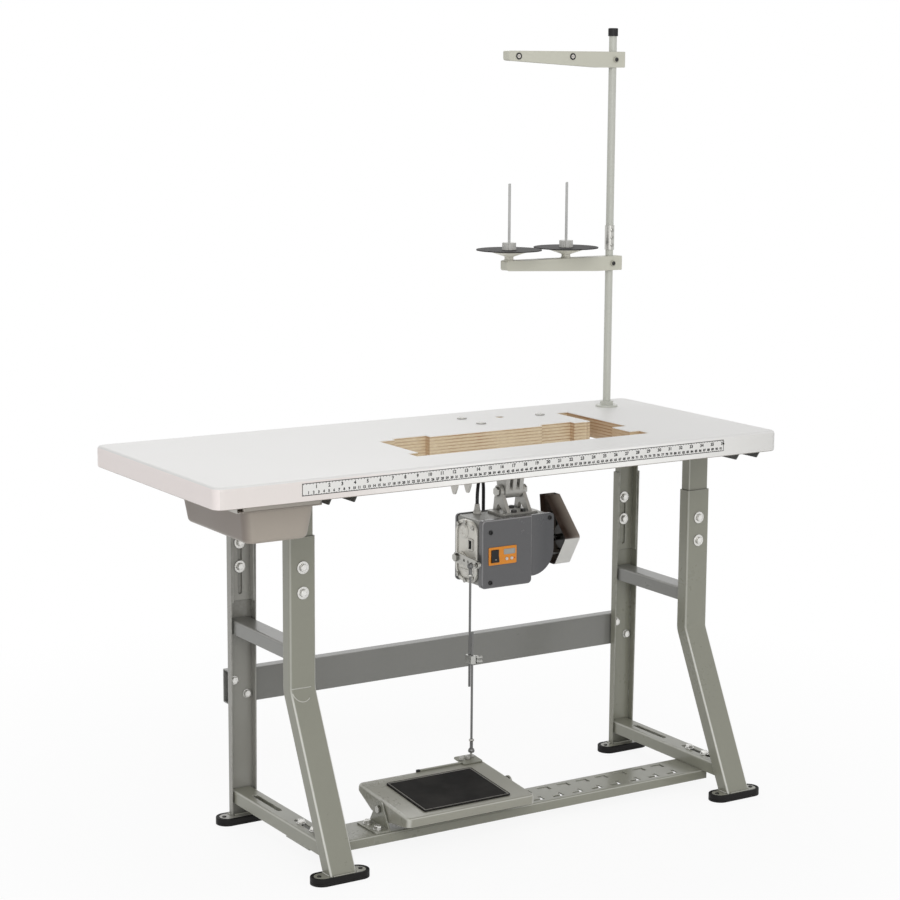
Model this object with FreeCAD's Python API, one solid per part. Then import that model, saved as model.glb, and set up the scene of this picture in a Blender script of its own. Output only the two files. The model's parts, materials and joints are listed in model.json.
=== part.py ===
import FreeCAD, Part
import math
import os

# Industrial sewing table with its K-leg stand, clutchless motor, treadle and thread stand.
# Millimetres. X runs along the table to the right, Y to the back, Z up.
# The sizes below measure X from the middle of the table top. The finished pieces are moved along X
# so that the origin is on the floor, under the middle of the whole stand and table.

V = FreeCAD.Vector

# Table top
table_length = 1219.0
table_depth = 510.0
table_top_z = 760.0
table_thickness = 40.0
table_corner_r = 18.0
table_edge_r = 7.0
table_lower_edge_r = 3.0

# Cut-out for the machine bed, with two hinge notches and the belt slot that opens into it
cutout_length = 482.0
cutout_depth = 178.0
cutout_x = 108.5
cutout_y = -65.0
cutout_corner_r = 6.0
hinge_notch_width = 78.0
hinge_notch_depth = 15.0
hinge_notch_left_x = -58.0
hinge_notch_right_x = 280.0
ledge_length = 34.0
ledge_depth = 22.0
ledge_drop = 12.0
belt_slot_width = 28.0
belt_slot_x = 371.0
belt_slot_front_y = -62.0
belt_slot_back_y = 145.0
lamp_hole_r = 9.0
lamp_hole_x = 230.0
lamp_hole_y = 160.0

# Measuring strip let into the front edge
ruler_length = 919.5
ruler_height = 22.0
ruler_thickness = 0.6
ruler_x = 14.0
ruler_below_top = 7.0

# Stand: legs are channels, the front pair bends forward near the floor
left_leg_from_end = 274.0
right_leg_from_end = 30.0
leg_width = 54.0
leg_depth = 28.0
leg_wall = 2.5
leg_edge_r = 5.0
leg_top_z = 611.0
rear_leg_from_back = 44.0
front_leg_back_y = -22.5
leg_bend_z = 318.0
leg_bend_r = 16.0
leg_slope_deg = 26.0
rear_leg_top_depth = 23.0
rear_leg_foot_depth = 16.0

# Feet
foot_length = 118.0
foot_width = 44.0
foot_height = 14.0
foot_edge_r = 2.0
rear_foot_from_back = 14.0
foot_recess = 4.0
foot_plate_length = 104.0
foot_plate_width = 31.0
foot_plate_thickness = 3.5
foot_plate_clearance = 0.5

# Side rails and braces, both open downwards
rail_width = 44.0
rail_height = 25.0
rail_bottom_z = 38.0
rail_wall = 2.5
rail_slot_width = 11.0
rail_back_slot_y = 98.0
rail_back_slot_length = 110.0
rail_front_slot_length = 96.0
brace_height = 27.0
brace_bottom_z = 378.0

# Rear crossbeam
beam_bottom_z = 233.0
beam_height = 67.0
beam_flange = 25.0
beam_wall = 2.5
beam_end_inset = 4.0
beam_bolt_dx = 14.0
beam_bolt_dz = 15.0

# Slotted bar under the rails that carries the pedal
bar_front_y = -110.0
bar_depth = 92.0
bar_height = 18.5
bar_wall = 3.0
bar_end_inset = 0.5
bar_walls_under_rail = 12.0
bar_slot_length = 26.0
bar_slot_width = 7.0
bar_slot_stem = 15.0
bar_slot_pitch = 47.0
bar_bolt_dy = 25.0
bar_slot_dy = 28.0

# Telescoping posts and the channels that carry the table
post_side_gap = 0.5
post_wall = 2.5
front_post_depth = 24.0
rear_post_depth = 18.0
post_edge_r = 3.5
post_bottom_z = 440.0
support_length = 420.0
support_height = 22.0
support_wall = 2.5
support_end_rise = 14.0
height_bolt_low_z = 506.5
height_bolt_pitch = 47.5
height_travel = 50.0
slot_play = 0.6

# Fasteners of the stand
bolt_r = 4.0
bolt_flats = 13.0
bolt_head_height = 5.5
washer_r = 9.0
height_washer_r = 12.0
washer_thickness = 1.6
nut_height = 6.5
bolt_end = 2.0
hole_play = 0.4

# Pedal
pedal_x = -36.5
pedal_width = 286.0
pedal_front = 100.0
pedal_back = 95.0
pedal_tilt_deg = 5.44
pedal_pivot_y = -67.5
pedal_pivot_z = 72.0
pedal_top_above_pivot = 17.0
pedal_sheet = 2.0
pedal_front_flange = 17.0
pedal_rear_flange = 9.0
pedal_skirt_depth = 33.0
pedal_skirt_front = 30.0
pedal_skirt_back = 34.0
pedal_corner_r = 12.0
pedal_edge_r = 6.0
pedal_boss_r = 11.0
pedal_boss_length = 9.0
mat_width = 194.0
mat_length = 145.0
mat_thickness = 3.0
mat_shift = -9.0
mat_corner_r = 5.0
pedal_pin_r = 5.0
pin_running_gap = 0.06
bracket_gap = 1.0
bracket_thickness = 3.0
bracket_base_half = 38.0
bracket_flange = 29.0
bracket_apex_r = 13.0
bracket_apex_rise = 30.0
bracket_foot_r = 6.0
bracket_corner_r = 3.0

# Ball joints and treadle rods
stud_plate_left = 35.0
stud_plate_right = 10.0
stud_plate_back = 26.0
stud_plate_front = 14.0
stud_plate_thickness = 3.0
stud_plate_corner_r = 4.0
stud_bolt_back = 8.0
stud_bolt_first = 13.0
stud_bolt_pitch = 15.0
stud_bolt_flats = 10.0
stud_bolt_height = 6.0
stud_collar_height = 2.0
stud_x = 91.0
stud_ball_back = 15.5
lower_ball_above_top = 15.0
ball_r = 4.4
ball_neck_r = 2.2
ball_gap = 0.1
socket_r = 6.6
socket_lip = 2.9
socket_neck_r = 3.3
socket_neck_start = 5.4
socket_length = 19.0
rod_r = 2.4
rod_spacing = 9.5
rod_start = 6.9
lower_rod_top_z = 356.0
upper_rod_end_z = 243.0
clamp_z = 300.0
clamp_height = 16.0
clamp_thickness = 12.0
clamp_corner_r = 2.5
clamp_margin = 4.5
clamp_slide_room = 2.4
clamp_side_room = 1.0
clamp_grip_gap = 0.05
clamp_bolt_r = 2.5
clamp_bolt_reach = 14.0
clamp_nut_flats = 8.0
clamp_nut_height = 4.0

# Motor
motor_left_x = 128.0
motor_right_x = 303.0
motor_front_y = 63.0
motor_back_y = 160.0
motor_bottom_z = 433.0
motor_top_z = 572.0
motor_axis_y = 116.0
motor_axis_z = 508.0
cover_depth = 13.0
cover_step = 5.0
cover_step_x = 248.0
cover_foot_lift = 14.0
cover_inner_corner_r = 1.0
cover_edge_r = 4.0
cover_corner_r = 9.0
cover_round_r = 52.0
housing_inset = 3.0
back_cover_depth = 8.0
back_cover_inset = 1.0
end_cover_thickness = 7.0
end_cover_margin = 3.0
end_cover_corner_r = 30.0
end_cover_edge_r = 2.0
end_cover_rim = 7.0
end_cover_recess = 2.5
plug_y = 102.5
plug_z = 518.0
plug_width = 12.0
plug_height = 18.0
plug_wall = 2.5
plug_depth = 4.5
bearing_boss_r = 24.0
bearing_boss_length = 9.0
shaft_r = 7.0
shaft_depth = 45.0
shaft_gap = 0.06
pulley_x = 363.0
pulley_r = 26.0
pulley_width = 15.0
pulley_groove_depth = 8.0
pulley_groove_half = 5.5
pulley_groove_floor_half = 2.5
pulley_nut_flats = 24.0
pulley_nut_height = 3.5
pulley_grip_gap = 0.03

# Controls on the motor cover
panel_length = 66.0
panel_height = 36.0
panel_thickness = 1.3
panel_corner_r = 2.0
panel_x = 176.0
panel_z = 498.5
rocker_from_panel = -18.5
rocker_width = 17.0
rocker_height = 25.0
rocker_reach = 3.0
rocker_depth = 5.0
rocker_play = 0.5
rocker_waist = 1.4
rocker_corner_radii = [0.8, 6.0, 0.8, 0.5, 4.0, 0.5]
rocker_throw_deg = 12.0
button_r = 3.2
button_edge_r = 0.7
buttons_below_panel = 7.5
buttons_from_panel = 15.5
button_pitch = 12.0
button_reach = 1.6
button_length = 5.0
button_travel = 1.2
button_play = 0.3

# Speed lever on the left end of the motor
lever_pivot_y = 131.0
lever_pivot_z = 489.0
lever_end_y = 57.5
lever_end_z = 486.5
lever_x = 112.0
lever_thickness = 4.0
lever_boss_r = 11.0
lever_tip_r = 8.0
lever_shaft_r = 5.0
lever_bush_r = 9.0
lever_bush_gap = 0.5
lever_hole_r = 3.0
lever_hole_shares = [0.4, 0.6, 0.8]
lever_nut_flats = 14.0
lever_nut_height = 5.0
lever_seat_depth = 3.0
lever_end_play = 1.5
upper_ball_x = 97.0
stud_nut_flats = 9.0
stud_nut_height = 5.0
stud_nut_gap = 0.3

# Motor hanger under the table
base_plate_thickness = 5.0
base_bolt_left_x = 151.0
base_bolt_right_x = 316.0
base_bolt_y = 142.0
base_bolt_spread = 72.0
base_bolt_r = 4.5
base_corner_r = 12.0
base_waist_r = 8.0
base_waist_share = 0.7
base_plate_margin = 16.0
base_head_r = 10.0
base_head_edge_r = 1.5
base_nut_flats = 16.0
base_head_height = 2.5
swing_x = 236.0
swing_y = 128.0
swing_z = 614.0
swing_nut_flats = 17.0
swing_bolt_r = 5.0
hub_width = 42.0
hub_r = 15.0
hub_top_depth = 64.0
hub_rib_width = 9.0
cradle_gap = 0.6
cradle_arm = 8.0
cradle_foot_length = 88.0
cradle_foot_corner_r = 8.0
cradle_leg_inset = 3.0
cradle_leg_width = 12.0
cradle_arch = 16.0
cradle_arch_r = 5.0
cradle_shoulder_share = 0.8
cradle_foot_depth = 62.0
cradle_foot_thickness = 6.0
cradle_boss_r = 13.0

# Belt guard on the pulley side
guard_left_x = 341.0
guard_right_x = 378.0
guard_wall = 2.2
guard_corner_r = 9.0
guard_post_r = 5.0
guard_pulley_room = 10.0
guard_nose_rise = 3.0
guard_drop = 58.0
guard_rise = 80.0
guard_low_front = 2.0
guard_low_back = 42.0
guard_high_back = 60.0
guard_high_front = 40.4
guard_front_lean = 0.6
guard_post_back = 36.0
guard_post_drop = 40.0
guard_post_rise = 44.0

# Motor lead, from the gland on top round to the back of the housing
cable_r = 3.5
gland_x = 170.0
gland_y = 148.0
gland_r = 6.5
gland_tip_r = 5.0
gland_height = 20.0
gland_flange_r = 8.5
gland_flange_height = 6.0
gland_floor = 4.0
cable_play = 0.2
cable_entry_x = 227.0
cable_entry_z = 500.0
grommet_r = 7.0
grommet_length = 8.0
grommet_lip = 2.0

# Hanger with two lugs beside the motor
hanger_x = 101.0
hanger_y = 100.0
hanger_width = 34.0
hanger_depth = 26.0
hanger_drop = 104.0
hanger_sheet = 3.0
hanger_point_height = 26.0
hanger_point_r = 7.0
hanger_shoulder_r = 8.0

# Drawer and its runners
drawer_from_end = 152.0
drawer_width = 142.0
drawer_front_y = -200.0
drawer_length = 266.0
drawer_top_z = 704.0
drawer_depth = 63.0
drawer_draft = 9.0
drawer_wall = 2.5
drawer_corner_r = 20.0
drawer_floor_r = 10.0
drawer_rim = 9.0
drawer_rim_thickness = 2.5
drawer_rim_corner_r = 6.0
drawer_rim_front = 5.4
runner_sheet = 1.6
runner_lip = 7.0
runner_flange = 12.0
runner_gap = 0.4
runner_side_gap = 1.0
runner_front_inset = 6.0
runner_back_inset = 4.0

# Thread stand
mast_from_end = 105.5
mast_from_back = 84.0
mast_r = 8.0
mast_wall = 1.5
mast_top_z = 1533.0
mast_joint_z = 1112.0
mast_below_table = 14.0
coupling_r = 9.8
coupling_length = 50.0
mast_grip_gap = 0.03
base_flange_r = 23.0
base_flange_height = 4.0
base_flange_edge_r = 1.5
base_washer = 2.5
base_collar_r = 13.0
base_collar_height = 12.0
cap_r = 10.0
cap_height = 16.0
cap_top = 3.0
cap_edge_r = 1.5
arm_sheet = 2.0
arm_reach = 260.0
arm_tail = 24.0
arm_play = 0.3
arm_taper_from_mast = 40.0
arm_corner_radii = [3.0, 5.0, 20.0, 2.0, 2.0]
spool_arm_width = 24.0
spool_arm_top_z = 1074.0
spool_arm_root_height = 29.0
spool_arm_tip_height = 20.0
guide_arm_width = 20.0
guide_arm_below_top = 44.0
guide_arm_root_height = 32.0
guide_arm_tip_height = 19.0
eyelet_r = 4.0
eyelet_below_middle = 1.0
eyelet_near = 106.0
eyelet_far = 236.0
arm_screw_r = 3.0
arm_screw_head_r = 5.0
arm_screw_head = 4.0
spool_near = 109.0
spool_far = 248.0
rest_neck_r = 9.0
rest_neck_height = 8.0
rest_foot_lip = 1.5
rest_foot_height = 2.0
rest_cone_height = 9.0
rest_plate_r = 36.0
rest_plate_height = 2.0
disc_r = 66.0
disc_thickness = 3.0
disc_flat_share = 0.7
disc_dish = 1.6
disc_edge_share = 0.6
disc_bore_r = 8.4
hub_flute_count = 8
spool_hub_r = 14.0
spool_hub_height = 14.0
spool_flute_r = 2.4
spool_pin_r = 2.75
spool_pin_height = 132.0
spool_pin_nose_share = 0.7
hub_root_gap = 0.05

# Levels and places that follow from the sizes above
table_under_z = table_top_z - table_thickness
leg_centres = {"left": left_leg_from_end - table_length / 2, "right": table_length / 2 - right_leg_from_end}
rear_leg_back_y = table_depth / 2 - rear_leg_from_back
drawer_x = drawer_from_end - table_length / 2
mast_x = table_length / 2 - mast_from_end
mast_y = table_depth / 2 - mast_from_back
leg_slope = math.radians(leg_slope_deg)
rail_top_z = rail_bottom_z + rail_height
bar_top_z = rail_bottom_z
bar_back_y = bar_front_y + bar_depth
bar_mid_y = bar_front_y + bar_depth / 2
plate_bottom_z = foot_height - foot_recess
plate_top_z = plate_bottom_z + foot_plate_thickness
height_bolt_levels = [height_bolt_low_z, height_bolt_low_z + height_bolt_pitch]
support_bottom_z = table_under_z - support_height
rear_post_back_y = rear_leg_back_y - leg_wall - post_side_gap
front_post_front_y = front_leg_back_y - leg_depth + leg_wall + post_side_gap
upper_ball = V(upper_ball_x, lever_end_y, lever_end_z)
rocker_x = panel_x + rocker_from_panel
button_x = panel_x + buttons_from_panel
button_z = panel_z - buttons_below_panel
housing_top_z = motor_top_z - housing_inset
housing_left_x = motor_left_x + housing_inset
housing_front_y = motor_front_y + cover_depth
end_cover_left_x = housing_left_x - end_cover_thickness
guide_arm_top_z = mast_top_z - guide_arm_below_top
farthest_x = max(table_length / 2, leg_centres["right"] + foot_length / 2)
nearest_x = min(-table_length / 2, leg_centres["left"] - foot_length / 2)
frame_shift = V(-(farthest_x + nearest_x) / 2, 0, 0)


def block(x0, x1, y0, y1, z0, z1):
    return Part.makeBox(x1 - x0, y1 - y0, z1 - z0, V(x0, y0, z0))


def cyl(radius, start, direction, length):
    return Part.makeCylinder(radius, length, start, direction)


def cyl_x(radius, x0, x1, y, z):
    return cyl(radius, V(x0, y, z), V(1, 0, 0), x1 - x0)


def cyl_y(radius, y0, y1, x, z):
    return cyl(radius, V(x, y0, z), V(0, 1, 0), y1 - y0)


def cyl_z(radius, z0, z1, x, y):
    return cyl(radius, V(x, y, z0), V(0, 0, 1), z1 - z0)


def on_xy(level):
    return lambda u, v: V(u, v, level)


def on_yz(level):
    return lambda u, v: V(level, u, v)


def on_xz(level):
    return lambda u, v: V(u, level, v)


def outline(points, radius, place):
    """Closed wire through 2-D corners, each rounded by one radius or by its own."""
    count = len(points)
    radii = radius if isinstance(radius, list) else [radius] * count
    starts, ends, mids = [], [], []
    for i, (u, v) in enumerate(points):
        here = V(u, v, 0)
        back = (V(*points[i - 1], 0) - here).normalize()
        ahead = (V(*points[(i + 1) % count], 0) - here).normalize()
        half = back.getAngle(ahead) / 2
        reach = radii[i] / math.tan(half)
        starts.append(here + back * reach)
        ends.append(here + ahead * reach)
        middle = (back + ahead).normalize()
        mids.append(here + middle * (radii[i] / math.sin(half) - radii[i]))
    edges = []
    for i in range(count):
        if radii[i] > 0:
            arc = [place(p.x, p.y) for p in (starts[i], mids[i], ends[i])]
            edges.append(Part.Arc(*arc).toShape())
        a = ends[i]
        b = starts[(i + 1) % count]
        if (b - a).Length > 1e-6:
            edges.append(Part.LineSegment(place(a.x, a.y), place(b.x, b.y)).toShape())
    return Part.Wire(Part.__sortEdges__(edges))


def prism(points, radius, place, travel):
    return Part.Face(outline(points, radius, place)).extrude(travel)


def rectangle(u0, u1, v0, v1):
    return [(u0, v0), (u1, v0), (u1, v1), (u0, v1)]


def stadium(x, y, length, width, z0, height):
    corners = rectangle(x - length / 2, x + length / 2, y - width / 2, y + width / 2)
    return prism(corners, width / 2 - 0.01, on_xy(z0), V(0, 0, height))


def slot_z(x, y, length, width, z0, z1):
    return stadium(x, y, length, width, z0, z1 - z0)


def hex_prism(flats, start, direction, height):
    """Hexagonal head or nut, across its flats, standing on start along direction."""
    radius = flats / math.sqrt(3)
    angles = [math.radians(60 * i) for i in range(6)]
    corners = [(radius * math.cos(a), radius * math.sin(a)) for a in angles]
    body = prism(corners, 0, on_xy(0), V(0, 0, height))
    body.Placement = FreeCAD.Placement(start, FreeCAD.Rotation(V(0, 0, 1), direction))
    return body


def bolt(head_face, direction, grip, washer_radius):
    """Hex bolt with washer and nut. The head bears on head_face and the shank runs along direction."""
    axis = V(direction).normalize()
    washer = cyl(washer_radius, head_face - axis * washer_thickness, axis, washer_thickness)
    head_low = head_face - axis * (washer_thickness + bolt_head_height)
    head = hex_prism(bolt_flats, head_low, axis, bolt_head_height)
    shank = cyl(bolt_r, head_face - axis * washer_thickness, axis, grip + washer_thickness + nut_height)
    nut = hex_prism(bolt_flats, head_face + axis * grip, axis, nut_height)
    return washer.fuse([head, shank, nut]).removeSplitter()


def edges_along(shape, direction, test):
    """Straight edges parallel to direction whose middle passes the test."""
    found = []
    for edge in shape.Edges:
        if isinstance(edge.Curve, Part.Line):
            if edge.Curve.Direction.cross(direction).Length < 1e-6 and test(edge.CenterOfMass):
                found.append(edge)
    return found


def turned(shape, centre, axis, degrees):
    copy = shape.copy()
    copy.rotate(centre, axis, degrees)
    return copy


# Table top and ruler
def ruler_box(y0, y1):
    top = table_top_z - ruler_below_top
    return block(ruler_x - ruler_length / 2, ruler_x + ruler_length / 2, y0, y1, top - ruler_height, top)


def cutout_tool():
    z0, z1 = table_under_z - 1, table_top_z + 1
    x0, x1 = cutout_x - cutout_length / 2, cutout_x + cutout_length / 2
    y0, y1 = cutout_y - cutout_depth / 2, cutout_y + cutout_depth / 2
    tool = prism(rectangle(x0, x1, y0, y1), cutout_corner_r, on_xy(z0), V(0, 0, z1 - z0))
    for x in (hinge_notch_left_x, hinge_notch_right_x):
        half = hinge_notch_width / 2
        tool = tool.fuse(block(x - half, x + half, y1 - 1, y1 + hinge_notch_depth, z0, z1))
    belt_left = belt_slot_x - belt_slot_width / 2
    belt_right = belt_slot_x + belt_slot_width / 2
    tool = tool.fuse(block(x1 - 1, belt_left + 1, belt_slot_front_y, y1, z0, z1))
    tool = tool.fuse(block(belt_left, belt_right, belt_slot_front_y, belt_slot_back_y, z0, z1))
    for x in (x0, x1):
        left, right = (x - ledge_depth, x + 1) if x == x0 else (x - 1, x + ledge_depth)
        ledge = block(left, right, y0, y0 + ledge_length, table_top_z - ledge_drop, z1)
        tool = tool.fuse(ledge)
    return tool.removeSplitter()


def make_table_top():
    half_x, half_y = table_length / 2, table_depth / 2
    corners = rectangle(-half_x, half_x, -half_y, half_y)
    top = prism(corners, table_corner_r, on_xy(table_under_z), V(0, 0, table_thickness))
    rim = [e for e in top.Edges if e.BoundBox.ZMin > table_top_z - 0.1]
    top = top.makeFillet(table_edge_r, rim)
    foot = [e for e in top.Edges if e.BoundBox.ZMax < table_under_z + 0.1]
    top = top.makeFillet(table_lower_edge_r, foot)
    top = top.cut(cutout_tool())
    top = top.cut(ruler_box(-half_y - 1, -half_y + ruler_thickness))
    low, high = table_under_z - 1, table_top_z + 1
    holes = [cyl_z(lamp_hole_r, low, high, lamp_hole_x, lamp_hole_y)]
    holes.append(cyl_z(mast_r + hole_play, low, high, mast_x, mast_y))
    for x, y in base_bolt_places():
        holes.append(cyl_z(base_bolt_r + hole_play, low, high, x, y))
    return top.cut(holes)


# Stand
def leg_side(depth, z_low):
    """Side-view line of the front leg, a given depth in front of its back edge, from top to bottom."""
    bend = (front_leg_back_y - depth, leg_bend_z + depth * math.tan(leg_slope / 2))
    low_y = front_leg_back_y - (leg_bend_z - z_low) * math.tan(leg_slope) - depth / math.cos(leg_slope)
    return [(front_leg_back_y - depth, leg_top_z), bend, (low_y, z_low)]


def foot_centre_y(row):
    if row == "rear":
        return rear_leg_back_y - rear_foot_from_back
    middle = leg_side(leg_depth / 2, plate_top_z)
    return middle[2][0]


def foot_plate(x, row):
    y = foot_centre_y(row)
    return stadium(x, y, foot_plate_length, foot_plate_width, plate_bottom_z, foot_plate_thickness)


def height_bolt_holes(x, y0, y1):
    return [cyl_y(bolt_r + hole_play, y0, y1, x, z) for z in height_bolt_levels]


def beam_bolt_places(x):
    middle = beam_bottom_z + beam_height / 2
    return [(x - beam_bolt_dx, middle + beam_bolt_dz), (x + beam_bolt_dx, middle - beam_bolt_dz)]


def make_front_leg(x):
    front = leg_side(leg_depth, plate_top_z)
    back = leg_side(0, plate_top_z)
    inner = leg_side(leg_depth - leg_wall, plate_top_z - 1)
    half = leg_width / 2
    corner_radii = [0, leg_bend_r, 0, 0, leg_bend_r + leg_depth, 0]
    leg = prism(front + back[::-1], corner_radii, on_yz(x - half), V(leg_width, 0, 0))
    behind = front_leg_back_y + leg_depth
    low, high = plate_top_z - 1, leg_top_z + 1
    hollow = [(inner[0][0], high), inner[1], inner[2], (behind, low), (behind, high)]
    hollow_radii = [0, leg_bend_r + leg_wall, 0, 0, 0]
    leg = leg.cut(prism(hollow, hollow_radii, on_yz(x - half + leg_wall), V(leg_width - 2 * leg_wall, 0, 0)))
    limit = front_leg_back_y - leg_depth / 2
    nose = []
    for edge in leg.Edges:
        box = edge.BoundBox
        outer = abs(abs(edge.CenterOfMass.x - x) - half) < 0.01
        on_front = abs(edge.CenterOfMass.y - front_line_y(edge.CenterOfMass.z)) < 2.5
        if outer and on_front and box.XLength < 0.01 and box.ZLength > 5 and box.YMax < limit:
            nose.append(edge)
    leg = leg.makeFillet(leg_edge_r, nose)
    front_y = front_leg_back_y - leg_depth
    leg = leg.cut(height_bolt_holes(x, front_y - 1, front_y + leg_wall + 1))
    return leg.fuse(foot_plate(x, "front")).removeSplitter()


def front_line_y(z):
    """Front face of the front leg at a height."""
    bend = leg_side(leg_depth, plate_top_z)[1]
    return bend[0] - max(0, bend[1] - z) * math.tan(leg_slope)


def make_rear_leg(x):
    """Channel open to the front, its sides narrower towards the floor."""
    half = leg_width / 2
    back = rear_leg_back_y
    front = back - rear_leg_top_depth
    low_front = back - rear_leg_foot_depth
    side = [(back, plate_top_z), (back, leg_top_z), (front, leg_top_z), (low_front, plate_top_z)]
    leg = prism(side, 0, on_yz(x - half), V(leg_width, 0, 0))
    inner = half - leg_wall
    leg = leg.cut(block(x - inner, x + inner, front - 1, back - leg_wall, plate_top_z - 1, leg_top_z + 1))
    outer = lambda c: c.y > rear_leg_back_y - 0.01 and abs(abs(c.x - x) - half) < 0.01
    leg = leg.makeFillet(leg_edge_r, edges_along(leg, V(0, 0, 1), outer))
    web = rear_leg_back_y - leg_wall
    holes = height_bolt_holes(x, web - 1, rear_leg_back_y + 1)
    for bx, bz in beam_bolt_places(x):
        holes.append(cyl_y(bolt_r + hole_play, web - 1, rear_leg_back_y + 1, bx, bz))
    return leg.cut(holes).fuse(foot_plate(x, "rear")).removeSplitter()


def make_foot(x, row):
    y = foot_centre_y(row)
    pad = stadium(x, y, foot_length, foot_width, 0, foot_height)
    rim = [e for e in pad.Edges if e.BoundBox.ZMin > foot_height - 0.1]
    pad = pad.makeFillet(foot_edge_r, rim)
    spread = 2 * foot_plate_clearance
    recess = stadium(x, y, foot_plate_length + spread, foot_plate_width + spread, plate_bottom_z, foot_height)
    return pad.cut(recess)


def front_end_tool(x, clear):
    """Space behind the web of the front leg, where rails and braces may reach."""
    inner = leg_side(leg_depth - leg_wall - clear, 0)
    back = rear_leg_back_y
    shape = [(inner[0][0], leg_top_z), inner[1], inner[2], (back, 0), (back, leg_top_z)]
    radii = [0, leg_bend_r + leg_wall, 0, 0, 0]
    return prism(shape, radii, on_yz(x - leg_width), V(2 * leg_width, 0, 0))


def side_channel(x, z0, height):
    """Channel open downwards, from web to web of the legs on one side."""
    y0 = leg_side(leg_depth, 0)[2][0]
    y1 = rear_leg_back_y - leg_wall
    half = rail_width / 2
    channel = block(x - half, x + half, y0, y1, z0, z0 + height)
    upper = lambda c: c.z > z0 + height - 0.01 and abs(abs(c.x - x) - half) < 0.01
    channel = channel.makeFillet(leg_edge_r, edges_along(channel, V(0, 1, 0), upper))
    room = half - rail_wall
    inside = block(x - room, x + room, y0 - 1, y1 + 1, z0 - 1, z0 + height - rail_wall)
    return channel.cut(inside).common(front_end_tool(x, 0))


def make_lower_rail(x):
    rail = side_channel(x, rail_bottom_z, rail_height)
    low, high = rail_top_z - rail_wall - 1, rail_top_z + 1
    back_slot = slot_z(0, 0, rail_back_slot_length, rail_slot_width, low, high)
    front_slot = slot_z(0, 0, rail_front_slot_length, rail_slot_width, low, high)
    for slot, y in ((back_slot, rail_back_slot_y), (front_slot, bar_mid_y)):
        slot.rotate(V(0, 0, 0), V(0, 0, 1), 90)
        slot.translate(V(x, y, 0))
        rail = rail.cut(slot)
    return rail


def make_crossbeam():
    x0 = leg_centres["left"] - leg_width / 2 + beam_end_inset
    x1 = leg_centres["right"] + leg_width / 2 - beam_end_inset
    y0 = rear_leg_back_y
    z0, z1 = beam_bottom_z, beam_bottom_z + beam_height
    beam = block(x0, x1, y0, y0 + beam_flange, z0, z1)
    beam = beam.makeFillet(beam_wall, edges_along(beam, V(1, 0, 0), lambda c: True))
    back = y0 + beam_flange - beam_wall
    beam = beam.cut(block(x0 - 1, x1 + 1, y0 + beam_wall, back, z0 + beam_wall, z1 - beam_wall))
    holes = []
    for x in leg_centres.values():
        for bx, bz in beam_bolt_places(x):
            holes.append(cyl_y(bolt_r + hole_play, y0 - 1, y0 + beam_wall + 1, bx, bz))
    return beam.cut(holes)


def bar_bolt_places():
    return [(x, bar_mid_y + dy) for x in leg_centres.values() for dy in (-bar_bolt_dy, bar_bolt_dy)]


def bracket_bolt_places(side):
    edge = bracket_plate_x(side)
    outward = -1 if side == "left" else 1
    x = edge + outward * (bracket_thickness + bracket_flange) / 2 + outward * bracket_thickness / 2
    return [(x, pedal_pivot_y + dy) for dy in (-bracket_base_half * 0.5, bracket_base_half * 0.5)]


def bar_slot(x, side, low, high):
    """L-shaped slot in the bar's top: a long cut along X and a stem at its right end."""
    y = bar_mid_y + side * bar_slot_dy
    half = bar_slot_width / 2
    inward = y - side * bar_slot_stem
    right = x + bar_slot_length / 2
    stem = block(right - bar_slot_width, right, min(y, inward), max(y, inward), low, high)
    return block(x - bar_slot_length / 2, x + bar_slot_length / 2, y - half, y + half, low, high).fuse(stem)


def make_pedal_bar():
    """Folded bar with slots. Only its top sheet runs on under the side rails."""
    half = rail_width / 2
    x0 = leg_centres["left"] - half + bar_end_inset
    x1 = leg_centres["right"] + half - bar_end_inset
    z0 = bar_top_z - bar_height
    bar = block(x0, x1, bar_front_y, bar_back_y, z0, bar_top_z)
    upper = lambda c: c.z > bar_top_z - 0.01
    bar = bar.makeFillet(leg_edge_r, edges_along(bar, V(1, 0, 0), upper))
    sheet_z = bar_top_z - bar_wall
    bar = bar.cut(block(x0 - 1, x1 + 1, bar_front_y + bar_wall, bar_back_y - bar_wall, z0 - 1, sheet_z))
    walls_x0 = leg_centres["left"] + half - bar_walls_under_rail
    walls_x1 = leg_centres["right"] - half + bar_walls_under_rail
    for a, b in ((x0 - 1, walls_x0), (walls_x1, x1 + 1)):
        bar = bar.cut(block(a, b, bar_front_y - 1, bar_back_y + 1, z0 - 1, sheet_z))
    low, high = bar_top_z - bar_wall - 1, bar_top_z + 1
    tools = []
    for x, y in bar_bolt_places() + bracket_bolt_places("left") + bracket_bolt_places("right"):
        tools.append(cyl_z(bolt_r + hole_play, low, high, x, y))
    first = bracket_plate_x("right") + bracket_thickness + bracket_flange + bar_slot_length
    last = leg_centres["right"] - leg_width / 2 - bar_slot_length / 2
    count = int((last - first) // bar_slot_pitch) + 1
    for i in range(count):
        for side in (-1, 1):
            tools.append(bar_slot(first + i * bar_slot_pitch, side, low, high))
    left = leg_centres["left"] + leg_width / 2 + bar_slot_length
    for side in (-1, 1):
        tools.append(bar_slot(left, side, low, high))
    return bar.cut(tools)


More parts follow.
